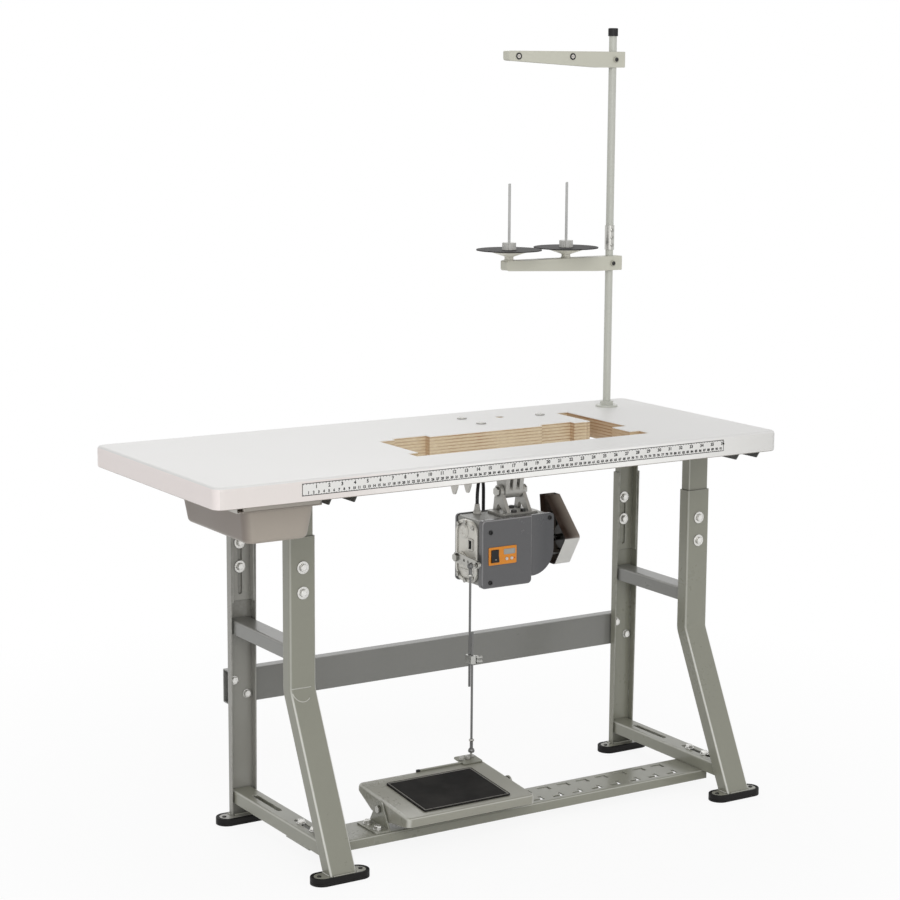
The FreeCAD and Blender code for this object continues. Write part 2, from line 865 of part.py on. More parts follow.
def make_frame_bolts():
    parts = []
    for x in leg_centres.values():
        front_web = front_leg_back_y - leg_depth
        for z in height_bolt_levels:
            front_grip = leg_wall + post_side_gap + post_wall
            parts.append(bolt(V(x, front_web, z), V(0, 1, 0), front_grip + washer_thickness, height_washer_r))
            rear_face = rear_post_back_y - post_wall
            parts.append(bolt(V(x, rear_face, z), V(0, 1, 0), rear_leg_back_y - rear_face, height_washer_r))
        for bx, bz in beam_bolt_places(x):
            web = rear_leg_back_y - leg_wall
            parts.append(bolt(V(bx, web, bz), V(0, 1, 0), leg_wall + beam_wall, washer_r))
    for x, y in bar_bolt_places():
        parts.append(bolt(V(x, y, rail_top_z), V(0, 0, -1), rail_height + bar_wall, washer_r))
    for side in ("left", "right"):
        for x, y in bracket_bolt_places(side):
            head = V(x, y, bar_top_z + bracket_thickness)
            parts.append(bolt(head, V(0, 0, -1), bracket_thickness + bar_wall, washer_r))
    return Part.makeCompound(parts)


# Posts and table supports
def make_post(x, row):
    half = leg_width / 2 - leg_wall - post_side_gap
    top = table_under_z - support_wall
    if row == "rear":
        web_y, open_y, sign = rear_post_back_y, rear_post_back_y - rear_post_depth, -1
    else:
        web_y, open_y, sign = front_post_front_y, front_post_front_y + front_post_depth, 1
    y0, y1 = min(web_y, open_y), max(web_y, open_y)
    post = block(x - half, x + half, y0, y1, post_bottom_z, top)
    on_web = lambda c: abs(c.y - web_y) < 0.01 and abs(abs(c.x - x) - half) < 0.01
    post = post.makeFillet(post_edge_r, edges_along(post, V(0, 0, 1), on_web))
    inner = web_y + sign * post_wall
    past = open_y + sign
    room = half - post_wall
    post = post.cut(block(x - room, x + room, min(inner, past), max(inner, past), post_bottom_z - 1, top + 1))
    low, high = height_bolt_levels[0] - height_travel, height_bolt_levels[1]
    slot_r = bolt_r + slot_play
    corners = rectangle(x - slot_r, x + slot_r, low - slot_r, high + slot_r)
    slot = prism(corners, slot_r - 0.01, on_xz(min(web_y, inner) - 1), V(0, post_wall + 2, 0))
    return post.cut(slot)


def make_support(x):
    half = leg_width / 2
    reach = support_length / 2
    low, high = support_bottom_z, table_under_z
    side = [(-reach, high), (-reach, high - support_wall), (-reach + support_end_rise, low)]
    side += [(reach - support_end_rise, low), (reach, high - support_wall), (reach, high)]
    channel = prism(side, 0, on_yz(x - half), V(leg_width, 0, 0))
    room = half - support_wall
    inside = block(x - room, x + room, -reach - 1, reach + 1, low - 1, high - support_wall)
    return channel.cut(inside)


# Pedal, its brackets and pins
def bracket_plate_x(side):
    """Inner face of the pedal bracket, next to the pedal's side."""
    half = pedal_width / 2 + bracket_gap
    return pedal_x - half if side == "left" else pedal_x + half


def pedal_placed(shape):
    """From the pedal's own frame, pivot at the origin and top level, to its rest tilt on the stand."""
    copy = turned(shape, V(0, 0, 0), V(1, 0, 0), pedal_tilt_deg)
    copy.translate(V(pedal_x, pedal_pivot_y, pedal_pivot_z))
    return copy


def pedal_corners(inset):
    half = pedal_width / 2 - inset
    return rectangle(-half, half, -pedal_front + inset, pedal_back - inset)


def pedal_skirt():
    """Side view below the pedal's flanges: deep at the pivot, shallow at the front and the rear edge."""
    high = pedal_top_above_pivot
    low = high - pedal_skirt_depth
    under = low - 1
    edge = [(-pedal_front - 1, high - pedal_front_flange), (-pedal_skirt_front, low), (pedal_skirt_back, low)]
    edge += [(pedal_back + 1, high - pedal_rear_flange), (pedal_back + 1, under), (-pedal_front - 1, under)]
    return prism(edge, 0, on_yz(-pedal_width), V(2 * pedal_width, 0, 0))


def make_pedal():
    """Folded tray with V-shaped side skirts and a bored boss inside each skirt."""
    high = pedal_top_above_pivot
    low = high - pedal_skirt_depth
    tray = prism(pedal_corners(0), pedal_corner_r, on_xy(low), V(0, 0, pedal_skirt_depth))
    tray = tray.makeFillet(pedal_edge_r, [e for e in tray.Edges if e.BoundBox.ZMin > high - 0.1])
    hollow_height = pedal_skirt_depth - pedal_sheet + 1
    inner_r = pedal_corner_r - pedal_sheet
    hollow = prism(pedal_corners(pedal_sheet), inner_r, on_xy(low - 1), V(0, 0, hollow_height))
    tops = [e for e in hollow.Edges if e.BoundBox.ZMin > high - pedal_sheet - 0.1]
    hollow = hollow.makeFillet(pedal_edge_r - pedal_sheet, tops)
    tray = tray.cut(hollow).cut(pedal_skirt())
    half = pedal_width / 2
    for sign in (-1, 1):
        x0, x1 = sorted((sign * (half - pedal_sheet / 2), sign * (half - pedal_boss_length)))
        tray = tray.fuse(cyl_x(pedal_boss_r, x0, x1, 0, 0))
    bore = cyl_x(pedal_pin_r + pin_running_gap, -half - 1, half + 1, 0, 0)
    return pedal_placed(tray.cut(bore).removeSplitter())


def make_mat():
    y0 = mat_shift - mat_length / 2
    corners = rectangle(-mat_width / 2, mat_width / 2, y0, y0 + mat_length)
    mat = prism(corners, mat_corner_r, on_xy(pedal_top_above_pivot), V(0, 0, mat_thickness))
    return pedal_placed(mat)


def make_bracket(side):
    """Upright plate with a rounded top and a foot folded outwards onto the bar."""
    outward = -1 if side == "left" else 1
    face = bracket_plate_x(side)
    x0 = min(face, face + outward * bracket_thickness)
    base = bar_top_z
    y0, y1 = pedal_pivot_y - bracket_base_half, pedal_pivot_y + bracket_base_half
    corners = [(y0, base), (y1, base), (pedal_pivot_y, pedal_pivot_z + bracket_apex_rise)]
    radii = [bracket_corner_r, bracket_corner_r, bracket_apex_r]
    plate = prism(corners, radii, on_yz(x0), V(bracket_thickness, 0, 0))
    far = face + outward * (bracket_thickness + bracket_flange)
    foot = [(face, y0), (far, y0), (far, y1), (face, y1)]
    flange = prism(foot, [0, bracket_foot_r, bracket_foot_r, 0], on_xy(base), V(0, 0, bracket_thickness))
    body = plate.fuse(flange).removeSplitter()
    hole_r = pedal_pin_r + pulley_grip_gap
    holes = [cyl_x(hole_r, x0 - 1, x0 + bracket_thickness + 1, pedal_pivot_y, pedal_pivot_z)]
    for x, y in bracket_bolt_places(side):
        holes.append(cyl_z(bolt_r + hole_play, base - 1, base + bracket_thickness + 1, x, y))
    return body.cut(holes)


def make_pedal_pins():
    pins = []
    for side in ("left", "right"):
        outward = -1 if side == "left" else 1
        face = bracket_plate_x(side)
        outer = face + outward * bracket_thickness
        inner = face - outward * (bracket_gap + pedal_boss_length)
        x0, x1 = min(outer, inner), max(outer, inner)
        pin = cyl_x(pedal_pin_r, x0, x1, pedal_pivot_y, pedal_pivot_z)
        seat = V(outer, pedal_pivot_y, pedal_pivot_z)
        head = hex_prism(bolt_flats, seat, V(outward, 0, 0), bolt_head_height)
        pins.append(pin.fuse(head).removeSplitter())
    return Part.makeCompound(pins)


# Ball joints and rods
def lower_ball_local():
    return V(stud_x - pedal_x, pedal_back + stud_ball_back, pedal_top_above_pivot + lower_ball_above_top)


def lower_ball_place():
    point = FreeCAD.Rotation(V(1, 0, 0), pedal_tilt_deg).multVec(lower_ball_local())
    return point + V(pedal_x, pedal_pivot_y, pedal_pivot_z)


def ball_and_neck(centre, direction, length):
    """Ball with its round neck, turned in one piece. The neck runs from the ball's centre along direction."""
    reach = math.sqrt(ball_r ** 2 - ball_neck_r ** 2)
    half = ball_r / math.sqrt(2)
    arc = Part.Arc(V(0, 0, -ball_r), V(half, 0, -half), V(ball_r, 0, 0)).toShape()
    half = math.asin(reach / ball_r) / 2
    mid = V(ball_r * math.cos(half), 0, ball_r * math.sin(half))
    shoulder = Part.Arc(V(ball_r, 0, 0), mid, V(ball_neck_r, 0, reach)).toShape()
    corners = [V(ball_neck_r, 0, reach), V(ball_neck_r, 0, length), V(0, 0, length), V(0, 0, -ball_r)]
    rest = Part.makePolygon(corners)
    profile = Part.Wire([arc, shoulder] + rest.Edges)
    stud = Part.Face(profile).revolve(V(0, 0, 0), V(0, 0, 1), 360)
    stud.Placement = FreeCAD.Placement(centre, FreeCAD.Rotation(V(0, 0, 1), direction))
    return stud


def make_pedal_stud():
    """Plate bolted across the pedal's rear edge, with the ball stud behind the edge."""
    ball = lower_ball_local()
    top = pedal_top_above_pivot
    face = top + stud_plate_thickness
    x0, x1 = ball.x - stud_plate_left, ball.x + stud_plate_right
    corners = rectangle(x0, x1, pedal_back - stud_plate_front, pedal_back + stud_plate_back)
    plate = prism(corners, stud_plate_corner_r, on_xy(top), V(0, 0, stud_plate_thickness))
    parts = [ball_and_neck(ball, V(0, 0, -1), ball.z - top)]
    parts.append(hex_prism(bolt_flats, V(ball.x, ball.y, face), V(0, 0, 1), stud_collar_height))
    for i in range(2):
        seat = V(ball.x - stud_bolt_first - i * stud_bolt_pitch, pedal_back + stud_bolt_back, face)
        parts.append(hex_prism(stud_bolt_flats, seat, V(0, 0, 1), stud_bolt_height))
    return pedal_placed(plate.fuse(parts).removeSplitter())


def rod_direction():
    """Shared upward direction of both rods. The lower rod runs in front of the upper one."""
    span = upper_ball - lower_ball_place()
    return (span + V(0, -rod_spacing, 0)).normalize()


def on_rod(start, upwards, level):
    return start + upwards * ((level - start.z) / upwards.z)


def socket(centre, along, mouth):
    """Round socket over a ball, cut flat where the ball's neck comes out, with a neck for the rod."""
    body = Part.makeSphere(socket_r, centre, mouth)
    body = body.cut(cyl(2 * socket_r, centre + mouth * socket_lip, mouth, socket_r))
    body = body.cut(Part.makeSphere(ball_r + ball_gap, centre, mouth))
    start = centre + along * socket_neck_start
    return body.fuse(cyl(socket_neck_r, start, along, socket_length - socket_neck_start))


def make_lower_rod():
    upwards = rod_direction()
    ball = lower_ball_place()
    start = ball + upwards * rod_start
    end = on_rod(ball, upwards, lower_rod_top_z)
    body = socket(ball, upwards, upwards * -1)
    return body.fuse(cyl(rod_r, start, upwards, (end - start).Length)).removeSplitter()


def make_upper_rod():
    upwards = rod_direction()
    down = upwards * -1
    start = upper_ball + down * rod_start
    end = on_rod(upper_ball, upwards, upper_rod_end_z)
    body = socket(upper_ball, down, V(1, 0, 0))
    return body.fuse(cyl(rod_r, start, down, (end - start).Length)).removeSplitter()


def make_rod_clamp():
    """Block that grips the lower rod and lets the upper rod slide through its longer hole."""
    upwards = rod_direction()
    grip = on_rod(lower_ball_place(), upwards, clamp_z)
    free = on_rod(upper_ball, upwards, clamp_z)
    sideways = free - grip
    sideways = sideways - upwards * sideways.dot(upwards)
    gap = sideways.Length
    frame = FreeCAD.Rotation(sideways.normalize(), upwards.cross(sideways), upwards, "ZXY")
    hole_x, hole_y = rod_r + clamp_slide_room, rod_r + clamp_side_room
    x0 = -rod_r - clamp_margin
    x1 = gap + hole_x + clamp_margin / 2
    half = clamp_thickness / 2
    corners = rectangle(x0, x1, -half, half)
    body = prism(corners, clamp_corner_r, on_xy(-clamp_height / 2), V(0, 0, clamp_height))
    body = body.cut(cyl_z(rod_r + clamp_grip_gap, -clamp_height, clamp_height, 0, 0))
    slot = rectangle(gap - hole_x, gap + hole_x, -hole_y, hole_y)
    body = body.cut(prism(slot, hole_y - 0.3, on_xy(-clamp_height), V(0, 0, 2 * clamp_height)))
    for z in (-clamp_height / 4, clamp_height / 4):
        end = V(x0 + clamp_margin / 2, -half - clamp_bolt_reach, z)
        screw = cyl(clamp_bolt_r, end, V(0, 1, 0), clamp_bolt_reach + 1)
        nut = hex_prism(clamp_nut_flats, V(end.x, -half, z), V(0, -1, 0), clamp_nut_height)
        body = body.fuse([screw, nut])
    body = body.removeSplitter()
    body.Placement = FreeCAD.Placement(grip, frame)
    return body


# Motor
def motor_slab(inset, y0, depth):
    """Motor's front view, square control side on the left and round motor side on the right, as a slab."""
    x0, x1 = motor_left_x + inset, motor_right_x - inset
    z0, z1 = motor_bottom_z + inset, motor_top_z - inset
    step = z0 + cover_foot_lift
    points = [(x0, z0), (cover_step_x, z0), (cover_step_x, step), (x1, step), (x1, z1), (x0, z1)]
    small = cover_corner_r - inset
    radii = [small, small, cover_inner_corner_r, cover_round_r - inset, small, small]
    return prism(points, radii, on_xz(y0), V(0, depth, 0))


def make_housing():
    body = motor_slab(housing_inset, housing_front_y, motor_back_y - housing_front_y)
    x0 = motor_right_x - housing_inset - 1
    x1 = motor_right_x + bearing_boss_length
    body = body.fuse(cyl_x(bearing_boss_r, x0, x1, motor_axis_y, motor_axis_z))
    bore = cyl_x(shaft_r + shaft_gap, x1 - shaft_depth - 1, x1 + 1, motor_axis_y, motor_axis_z)
    return body.cut(bore).removeSplitter()


def controls_tool(y0, y1):
    """Openings for the rocker and the two buttons."""
    w, h = rocker_width / 2 + rocker_play, rocker_height / 2 + rocker_play
    tools = [block(rocker_x - w, rocker_x + w, y0, y1, panel_z - h, panel_z + h)]
    for x in button_places():
        tools.append(cyl_y(button_r + button_play, y0, y1, x, button_z))
    return tools


def button_places():
    return [button_x - button_pitch / 2, button_x + button_pitch / 2]


def make_front_cover():
    y0 = motor_front_y
    shell = motor_slab(0, y0, cover_depth)
    right, low, high = motor_right_x + 1, motor_bottom_z - 1, motor_top_z + 1
    shell = shell.cut(block(cover_step_x, right, y0 - 1, y0 + cover_step, low, high))
    face = [e for e in shell.Edges if e.BoundBox.YMax < y0 + 0.05 and e.BoundBox.YLength < 0.05]
    shell = shell.makeFillet(cover_edge_r, face)
    depth = max(rocker_depth + rocker_reach, button_length + button_travel)
    return shell.cut(controls_tool(y0 - 1, y0 + depth))


def make_back_cover():
    y0 = motor_back_y
    shell = motor_slab(back_cover_inset, y0, back_cover_depth)
    rim = [e for e in shell.Edges if e.BoundBox.YMin > y0 + back_cover_depth - 0.05]
    shell = shell.makeFillet(cover_edge_r, rim)
    hole_r = grommet_r - grommet_lip
    return shell.cut(cyl_y(hole_r, y0 - 1, y0 + back_cover_depth + 1, cable_entry_x, cable_entry_z))


def end_cover_plan(inset):
    margin = end_cover_margin + inset
    y0, y1 = housing_front_y + margin, motor_back_y - margin
    return rectangle(y0, y1, motor_bottom_z + housing_inset + margin, housing_top_z - margin)


def plug_block(grow, x0, x1):
    w, h = plug_width / 2 + grow, plug_height / 2 + grow
    return block(x0, x1, plug_y - w, plug_y + w, plug_z - h, plug_z + h)


def make_end_cover():
    """Cast end bell with a raised rim, a plug socket and the bush of the speed lever."""
    x0 = end_cover_left_x
    cover = prism(end_cover_plan(0), end_cover_corner_r, on_yz(x0), V(end_cover_thickness, 0, 0))
    cover = cover.makeFillet(end_cover_edge_r, [e for e in cover.Edges if e.BoundBox.XMax < x0 + 0.05])
    floor = x0 + end_cover_recess
    inner_r = end_cover_corner_r - end_cover_rim
    plan = end_cover_plan(end_cover_rim)
    cover = cover.cut(prism(plan, inner_r, on_yz(x0 - 1), V(1 + end_cover_recess, 0, 0)))
    cover = cover.fuse(plug_block(plug_wall, x0, floor + 1)).cut(plug_block(0, x0 - 1, x0 + plug_depth))
    bush_x = lever_x + lever_thickness / 2 + lever_bush_gap
    y, z = lever_pivot_y, lever_pivot_z
    cover = cover.fuse(cyl_x(lever_bush_r, bush_x, floor + 1, y, z))
    bore = cyl_x(lever_shaft_r + pin_running_gap, bush_x - 1, x0 + lever_seat_depth, y, z)
    return cover.cut(bore).removeSplitter()


def make_control_panel():
    y0, y1 = motor_front_y - panel_thickness, motor_front_y
    w, h = panel_length / 2, panel_height / 2
    corners = rectangle(panel_x - w, panel_x + w, panel_z - h, panel_z + h)
    plate = prism(corners, panel_corner_r, on_xz(y0), V(0, panel_thickness, 0))
    return plate.cut(controls_tool(y0 - 1, y1 + 1))


def make_rocker():
    """Rocker with one half pressed in. It turns about an axis along X at the panel face."""
    y = motor_front_y - panel_thickness
    half = rocker_height / 2
    front = y - rocker_reach
    side = [(front, panel_z + half), (y - rocker_waist, panel_z), (front, panel_z - half)]
    side += [(y + 1.0, panel_z - half), (y + rocker_depth, panel_z), (y + 1.0, panel_z + half)]
    body = prism(side, rocker_corner_radii, on_yz(rocker_x - rocker_width / 2), V(rocker_width, 0, 0))
    return turned(body, V(rocker_x, y, panel_z), V(1, 0, 0), -rocker_throw_deg / 2)


def make_button(x):
    y0 = motor_front_y - panel_thickness - button_reach
    cap = cyl_y(button_r, y0, y0 + button_length, x, button_z)
    return cap.makeFillet(button_edge_r, [e for e in cap.Edges if e.BoundBox.YMax < y0 + 0.05])


def make_shaft():
    x1 = motor_right_x + bearing_boss_length
    end = pulley_x + pulley_width / 2 + pulley_nut_height
    return cyl_x(shaft_r, x1 - shaft_depth, end, motor_axis_y, motor_axis_z)


def make_pulley():
    """V-belt pulley turned about the motor axis, with its nut."""
    x0, x1 = pulley_x - pulley_width / 2, pulley_x + pulley_width / 2
    bore = shaft_r + pulley_grip_gap
    floor = pulley_r - pulley_groove_depth
    profile = [(x0, bore), (x1, bore), (x1, pulley_r), (pulley_x + pulley_groove_half, pulley_r)]
    profile += [(pulley_x + pulley_groove_floor_half, floor), (pulley_x - pulley_groove_floor_half, floor)]
    profile += [(pulley_x - pulley_groove_half, pulley_r), (x0, pulley_r)]
    wire = Part.makePolygon([V(x, motor_axis_y + r, motor_axis_z) for x, r in profile + profile[:1]])
    wheel = Part.Face(wire).revolve(V(0, motor_axis_y, motor_axis_z), V(1, 0, 0), 360)
    nut = hex_prism(pulley_nut_flats, V(x1, motor_axis_y, motor_axis_z), V(1, 0, 0), pulley_nut_height)
    nut = nut.cut(cyl_x(bore, x1 - 1, x1 + pulley_nut_height + 1, motor_axis_y, motor_axis_z))
    return wheel.fuse(nut).removeSplitter()


def make_lever():
    """Flat lever, tapered from the pivot boss to the ball end, on a short shaft with its nut."""
    x0 = lever_x - lever_thickness / 2
    pivot = V(0, lever_pivot_y, lever_pivot_z)
    tip = V(0, lever_end_y, lever_end_z)
    arm = tip - pivot
    across = V(0, -arm.z, arm.y).normalize()
    ends = [pivot + across * lever_boss_r, pivot - across * lever_boss_r]
    ends += [tip - across * lever_tip_r, tip + across * lever_tip_r]
    plate = prism([(p.y, p.z) for p in ends], 0, on_yz(x0), V(lever_thickness, 0, 0))
    plate = plate.fuse(cyl_x(lever_boss_r, x0, x0 + lever_thickness, pivot.y, pivot.z))
    plate = plate.fuse(cyl_x(lever_tip_r, x0, x0 + lever_thickness, tip.y, tip.z))
    for share in lever_hole_shares:
        place = pivot + arm * share
        plate = plate.cut(cyl_x(lever_hole_r, x0 - 1, x0 + lever_thickness + 1, place.y, place.z))
    plate = plate.cut(cyl_x(ball_neck_r + pin_running_gap, x0 - 1, x0 + lever_thickness + 1, tip.y, tip.z))
    start = x0 - lever_nut_height
    shaft = cyl_x(lever_shaft_r, start, end_cover_left_x + lever_end_play, pivot.y, pivot.z)
    nut = hex_prism(lever_nut_flats, V(start, pivot.y, pivot.z), V(1, 0, 0), lever_nut_height)
    return plate.fuse([shaft, nut]).removeSplitter()


def make_upper_stud():
    y, z = lever_end_y, lever_end_z
    x0, x1 = lever_x - lever_thickness / 2, lever_x + lever_thickness / 2
    nut_x = x1 + stud_nut_gap
    stud = ball_and_neck(upper_ball, V(1, 0, 0), nut_x + stud_nut_height + 1 - upper_ball_x)
    collar = hex_prism(stud_nut_flats, V(x0 - stud_nut_gap, y, z), V(-1, 0, 0), stud_collar_height)
    nut = hex_prism(stud_nut_flats, V(nut_x, y, z), V(1, 0, 0), stud_nut_height)
    return stud.fuse([collar, nut]).removeSplitter()


# Motor hanger
def base_bolt_places():
    half = base_bolt_spread / 2
    left = [(base_bolt_left_x, base_bolt_y - half), (base_bolt_left_x, base_bolt_y + half)]
    return left + [(base_bolt_right_x, base_bolt_y)]


def make_motor_base():
    """Cast hanger: three-armed plate under the table and a ribbed hub down to the swing bolt."""
    z1 = table_under_z
    z0 = z1 - base_plate_thickness
    m = base_plate_margin
    half = base_bolt_spread / 2
    left, right = base_bolt_left_x - m, base_bolt_right_x + m
    waist_x = swing_x + hub_width / 2 + m
    waist = half * base_waist_share
    y = base_bolt_y
    plan = [(left, y - half - m), (waist_x, y - waist), (right, y - m)]
    plan += [(right, y + m), (waist_x, y + waist), (left, y + half + m)]
    radii = [base_corner_r, base_waist_r, base_corner_r] * 2
    body = prism(plan, radii, on_xy(z0), V(0, 0, base_plate_thickness))
    top = hub_top_depth / 2
    z = z0 + base_plate_thickness / 2
    side = [(swing_y - hub_r, swing_z), (swing_y + hub_r, swing_z), (swing_y + top, z), (swing_y - top, z)]
    x0, x1 = swing_x - hub_width / 2, swing_x + hub_width / 2
    rib = hub_rib_width / 2
    for x in (x0, swing_x - rib, x1 - hub_rib_width):
        body = body.fuse(prism(side, 0, on_yz(x), V(hub_rib_width, 0, 0)))
    middle = block(x0, x1, swing_y - rib, swing_y + rib, swing_z, z)
    barrel = cyl_x(hub_r, x0, x1, swing_y, swing_z)
    body = body.fuse([middle, barrel])
    holes = [cyl_z(base_bolt_r + hole_play, z0 - 1, z1 + 1, x, y) for x, y in base_bolt_places()]
    holes.append(cyl_x(swing_bolt_r + hole_play, swing_x - hub_width, swing_x + hub_width, swing_y, swing_z))
    return body.cut(holes).removeSplitter()


def make_motor_bolts():
    parts = []
    for x, y in base_bolt_places():
        head = cyl_z(base_head_r, table_top_z, table_top_z + base_head_height, x, y)
        dome = [e for e in head.Edges if e.BoundBox.ZMin > table_top_z + base_head_height - 0.05]
        head = head.makeFillet(base_head_edge_r, dome)
        low = table_under_z - base_plate_thickness
        shank = cyl_z(base_bolt_r, low - nut_height - bolt_end, table_top_z + base_head_height / 2, x, y)
        nut = hex_prism(base_nut_flats, V(x, y, low), V(0, 0, -1), nut_height)
        parts.append(head.fuse([shank, nut]).removeSplitter())
    reach = hub_width / 2 + cradle_gap + cradle_arm
    pin = cyl_x(swing_bolt_r, swing_x - reach, swing_x + reach + nut_height, swing_y, swing_z)
    head = hex_prism(swing_nut_flats, V(swing_x - reach, swing_y, swing_z), V(-1, 0, 0), bolt_head_height)
    nut = hex_prism(swing_nut_flats, V(swing_x + reach, swing_y, swing_z), V(1, 0, 0), nut_height)
    parts.append(pin.fuse([head, nut]).removeSplitter())
    return Part.makeCompound(parts)


def make_cradle():
    """Two splayed arms from the swing bolt down to a foot on top of the motor."""
    z0 = housing_top_z
    z1 = z0 + cradle_foot_thickness
    x0, x1 = swing_x - cradle_foot_length / 2, swing_x + cradle_foot_length / 2
    middle = (housing_front_y + motor_back_y) / 2
    y0, y1 = middle - cradle_foot_depth / 2, middle + cradle_foot_depth / 2
    body = prism(rectangle(x0, x1, y0, y1), cradle_foot_corner_r, on_xy(z0), V(0, 0, cradle_foot_thickness))
    low = z1 - cradle_foot_thickness / 2
    a, b = cradle_leg_inset, cradle_leg_inset + cradle_leg_width
    side = [(y0 + a, low), (y0 + b, low), (swing_y, z1 + cradle_arch), (y1 - b, low), (y1 - a, low)]
    shoulder = cradle_boss_r * cradle_shoulder_share
    side += [(swing_y + shoulder, swing_z), (swing_y - shoulder, swing_z)]
    radii = [0, 0, cradle_arch_r, 0, 0, 0, 0]
    inner = hub_width / 2 + cradle_gap
    for x in (swing_x - inner - cradle_arm, swing_x + inner):
        arm = prism(side, radii, on_yz(x), V(cradle_arm, 0, 0))
        body = body.fuse([arm, cyl_x(cradle_boss_r, x, x + cradle_arm, swing_y, swing_z)])
    hole = cyl_x(swing_bolt_r + hole_play, swing_x - 2 * inner, swing_x + 2 * inner, swing_y, swing_z)
    return body.cut(hole).removeSplitter()


# Belt guard
def guard_outline(inset, over):
    """Side view of the guard: a nose in front of the pulley, a short floor and an open top."""
    y, z = motor_axis_y, motor_axis_z
    nose = (y - pulley_r - guard_pulley_room + inset, z + guard_nose_rise)
    floor = z - guard_drop + inset
    high_front = (y + guard_high_front + guard_front_lean * inset, z + guard_rise + over)
    high_back = (y + guard_high_back - inset, z + guard_rise + over)
    return [nose, (y + guard_low_front, floor), (y + guard_low_back - inset, floor), high_back, high_front]


def make_belt_guard():
    """Folded cover round the pulley, open to the motor and open on top for the belt."""
    r = guard_corner_r
    width = guard_right_x - guard_left_x
    shell = prism(guard_outline(0, 0), [r, r, r, 0, 0], on_yz(guard_left_x), V(width, 0, 0))
    small = r - guard_wall
    inside = guard_outline(guard_wall, 1.0)
    deep = V(width - guard_wall + 1, 0, 0)
    hollow = prism(inside, [small, small, small, 0, 0], on_yz(guard_left_x - 1), deep)
    shell = shell.cut(hollow)
    posts = []
    y = motor_axis_y + guard_post_back
    for z in (motor_axis_z - guard_post_drop, motor_axis_z + guard_post_rise):
        posts.append(cyl_x(guard_post_r, motor_right_x - housing_inset, guard_right_x - guard_wall / 2, y, z))
    return shell.fuse(posts).removeSplitter()


# Motor lead
def cable_points():
    """Hand-set route: up from the gland, over in one bow and down into the back of the housing."""
    low = housing_top_z + gland_height
    x, y, z = gland_x, gland_y, cable_entry_z
    return [
        V(x, y, low - 12), V(x, y, low + 10), V(x + 1, y + 1, low + 34), V(x + 10, y + 11, low + 56),
        V(x + 28, y + 32, low + 66), V(x + 46, y + 53, low + 56), V(x + 55, y + 63, low + 34),
        V(x + 57, y + 65, low + 4), V(x + 57, y + 65, low - 27), V(x + 57, y + 64, z + 26),
        V(x + 57, y + 55, z + 9), V(x + 57, y + 38, z), V(x + 57, y + 21, z),
    ]


def tube_path(points):
    """Straight runs joined by tangent arcs, each as large as its two runs allow."""
    edges = []
    radii = []
    here = points[0]
    for i in range(1, len(points) - 1):
        back = points[i - 1] - points[i]
        ahead = points[i + 1] - points[i]
        turn = math.pi - back.getAngle(ahead)
        run = 0.45 * min(back.Length, ahead.Length)
        radius = run / math.tan(turn / 2)
        back.normalize()
        ahead.normalize()
        middle = (back + ahead).normalize() * (radius / math.cos(turn / 2) - radius)
        a = points[i] + back * run
        b = points[i] + ahead * run
        if (a - here).Length > 1e-6:
            edges.append(Part.LineSegment(here, a).toShape())
        edges.append(Part.Arc(a, points[i] + middle, b).toShape())
        radii.append(round(radius, 1))
        here = b
    edges.append(Part.LineSegment(here, points[-1]).toShape())
    return Part.Wire(edges), radii


def make_cable():
    path, radii = tube_path(cable_points())
    first = cable_points()
    start = first[0]
    ring = Part.Wire(Part.makeCircle(cable_r, start, first[1] - start))
    tube = path.makePipeShell([ring], True, False)
    ideal = math.pi * cable_r ** 2 * path.Length
    share = round(tube.Volume / ideal, 4)
    print("motor lead radii", radii, "length", round(path.Length, 1), "volume share", share)
    return tube


def make_gland():
    z0 = housing_top_z
    z1 = z0 + gland_flange_height
    bore_r = cable_r + cable_play
    body = cyl_z(gland_flange_r, z0, z1, gland_x, gland_y)
    rise = gland_height - gland_flange_height
    cone = Part.makeCone(gland_r, gland_tip_r, rise, V(gland_x, gland_y, z1), V(0, 0, 1))
    body = body.fuse(cone).cut(cyl_z(bore_r, z0 + gland_floor, z0 + gland_height + 1, gland_x, gland_y))
    y0 = motor_back_y + back_cover_depth
    y1 = y0 + grommet_length
    grommet = cyl_y(grommet_r, y0, y1, cable_entry_x, cable_entry_z)
    grommet = grommet.cut(cyl_y(bore_r, y0 - 1, y1 + 1, cable_entry_x, cable_entry_z))
    return Part.makeCompound([body.removeSplitter(), grommet])


# Hanger beside the motor
def make_hanger():
    z1 = table_under_z
    x0, x1 = hanger_x - hanger_width / 2, hanger_x + hanger_width / 2
    y0, y1 = hanger_y - hanger_depth / 2, hanger_y + hanger_depth / 2
    body = block(x0, x1, y0, y1, z1 - hanger_sheet, z1)
    low = z1 - hanger_drop
    shoulder = low + hanger_point_height
    lug = [(y0, z1 - 1), (y0, shoulder), (hanger_y, low), (y1, shoulder), (y1, z1 - 1)]
    radii = [0, hanger_shoulder_r, hanger_point_r, hanger_shoulder_r, 0]
    for x in (x0, x1 - hanger_sheet):
        body = body.fuse(prism(lug, radii, on_yz(x), V(hanger_sheet, 0, 0)))
    return body.removeSplitter()


# Drawer
def tray_solid(inset, z_floor, z_rim):
    """Tapered tray body, narrower at the floor."""
    depth = drawer_depth
    wires = []
    for z in (z_floor, z_rim):
        fall = drawer_draft * (drawer_top_z - z) / depth
        shrink = inset + fall
        x0, x1 = drawer_x - drawer_width / 2 + shrink, drawer_x + drawer_width / 2 - shrink
        y0, y1 = drawer_front_y + shrink, drawer_front_y + drawer_length - shrink
        wires.append(outline(rectangle(x0, x1, y0, y1), drawer_corner_r - inset, on_xy(z)))
    return Part.makeLoft(wires, True, True)


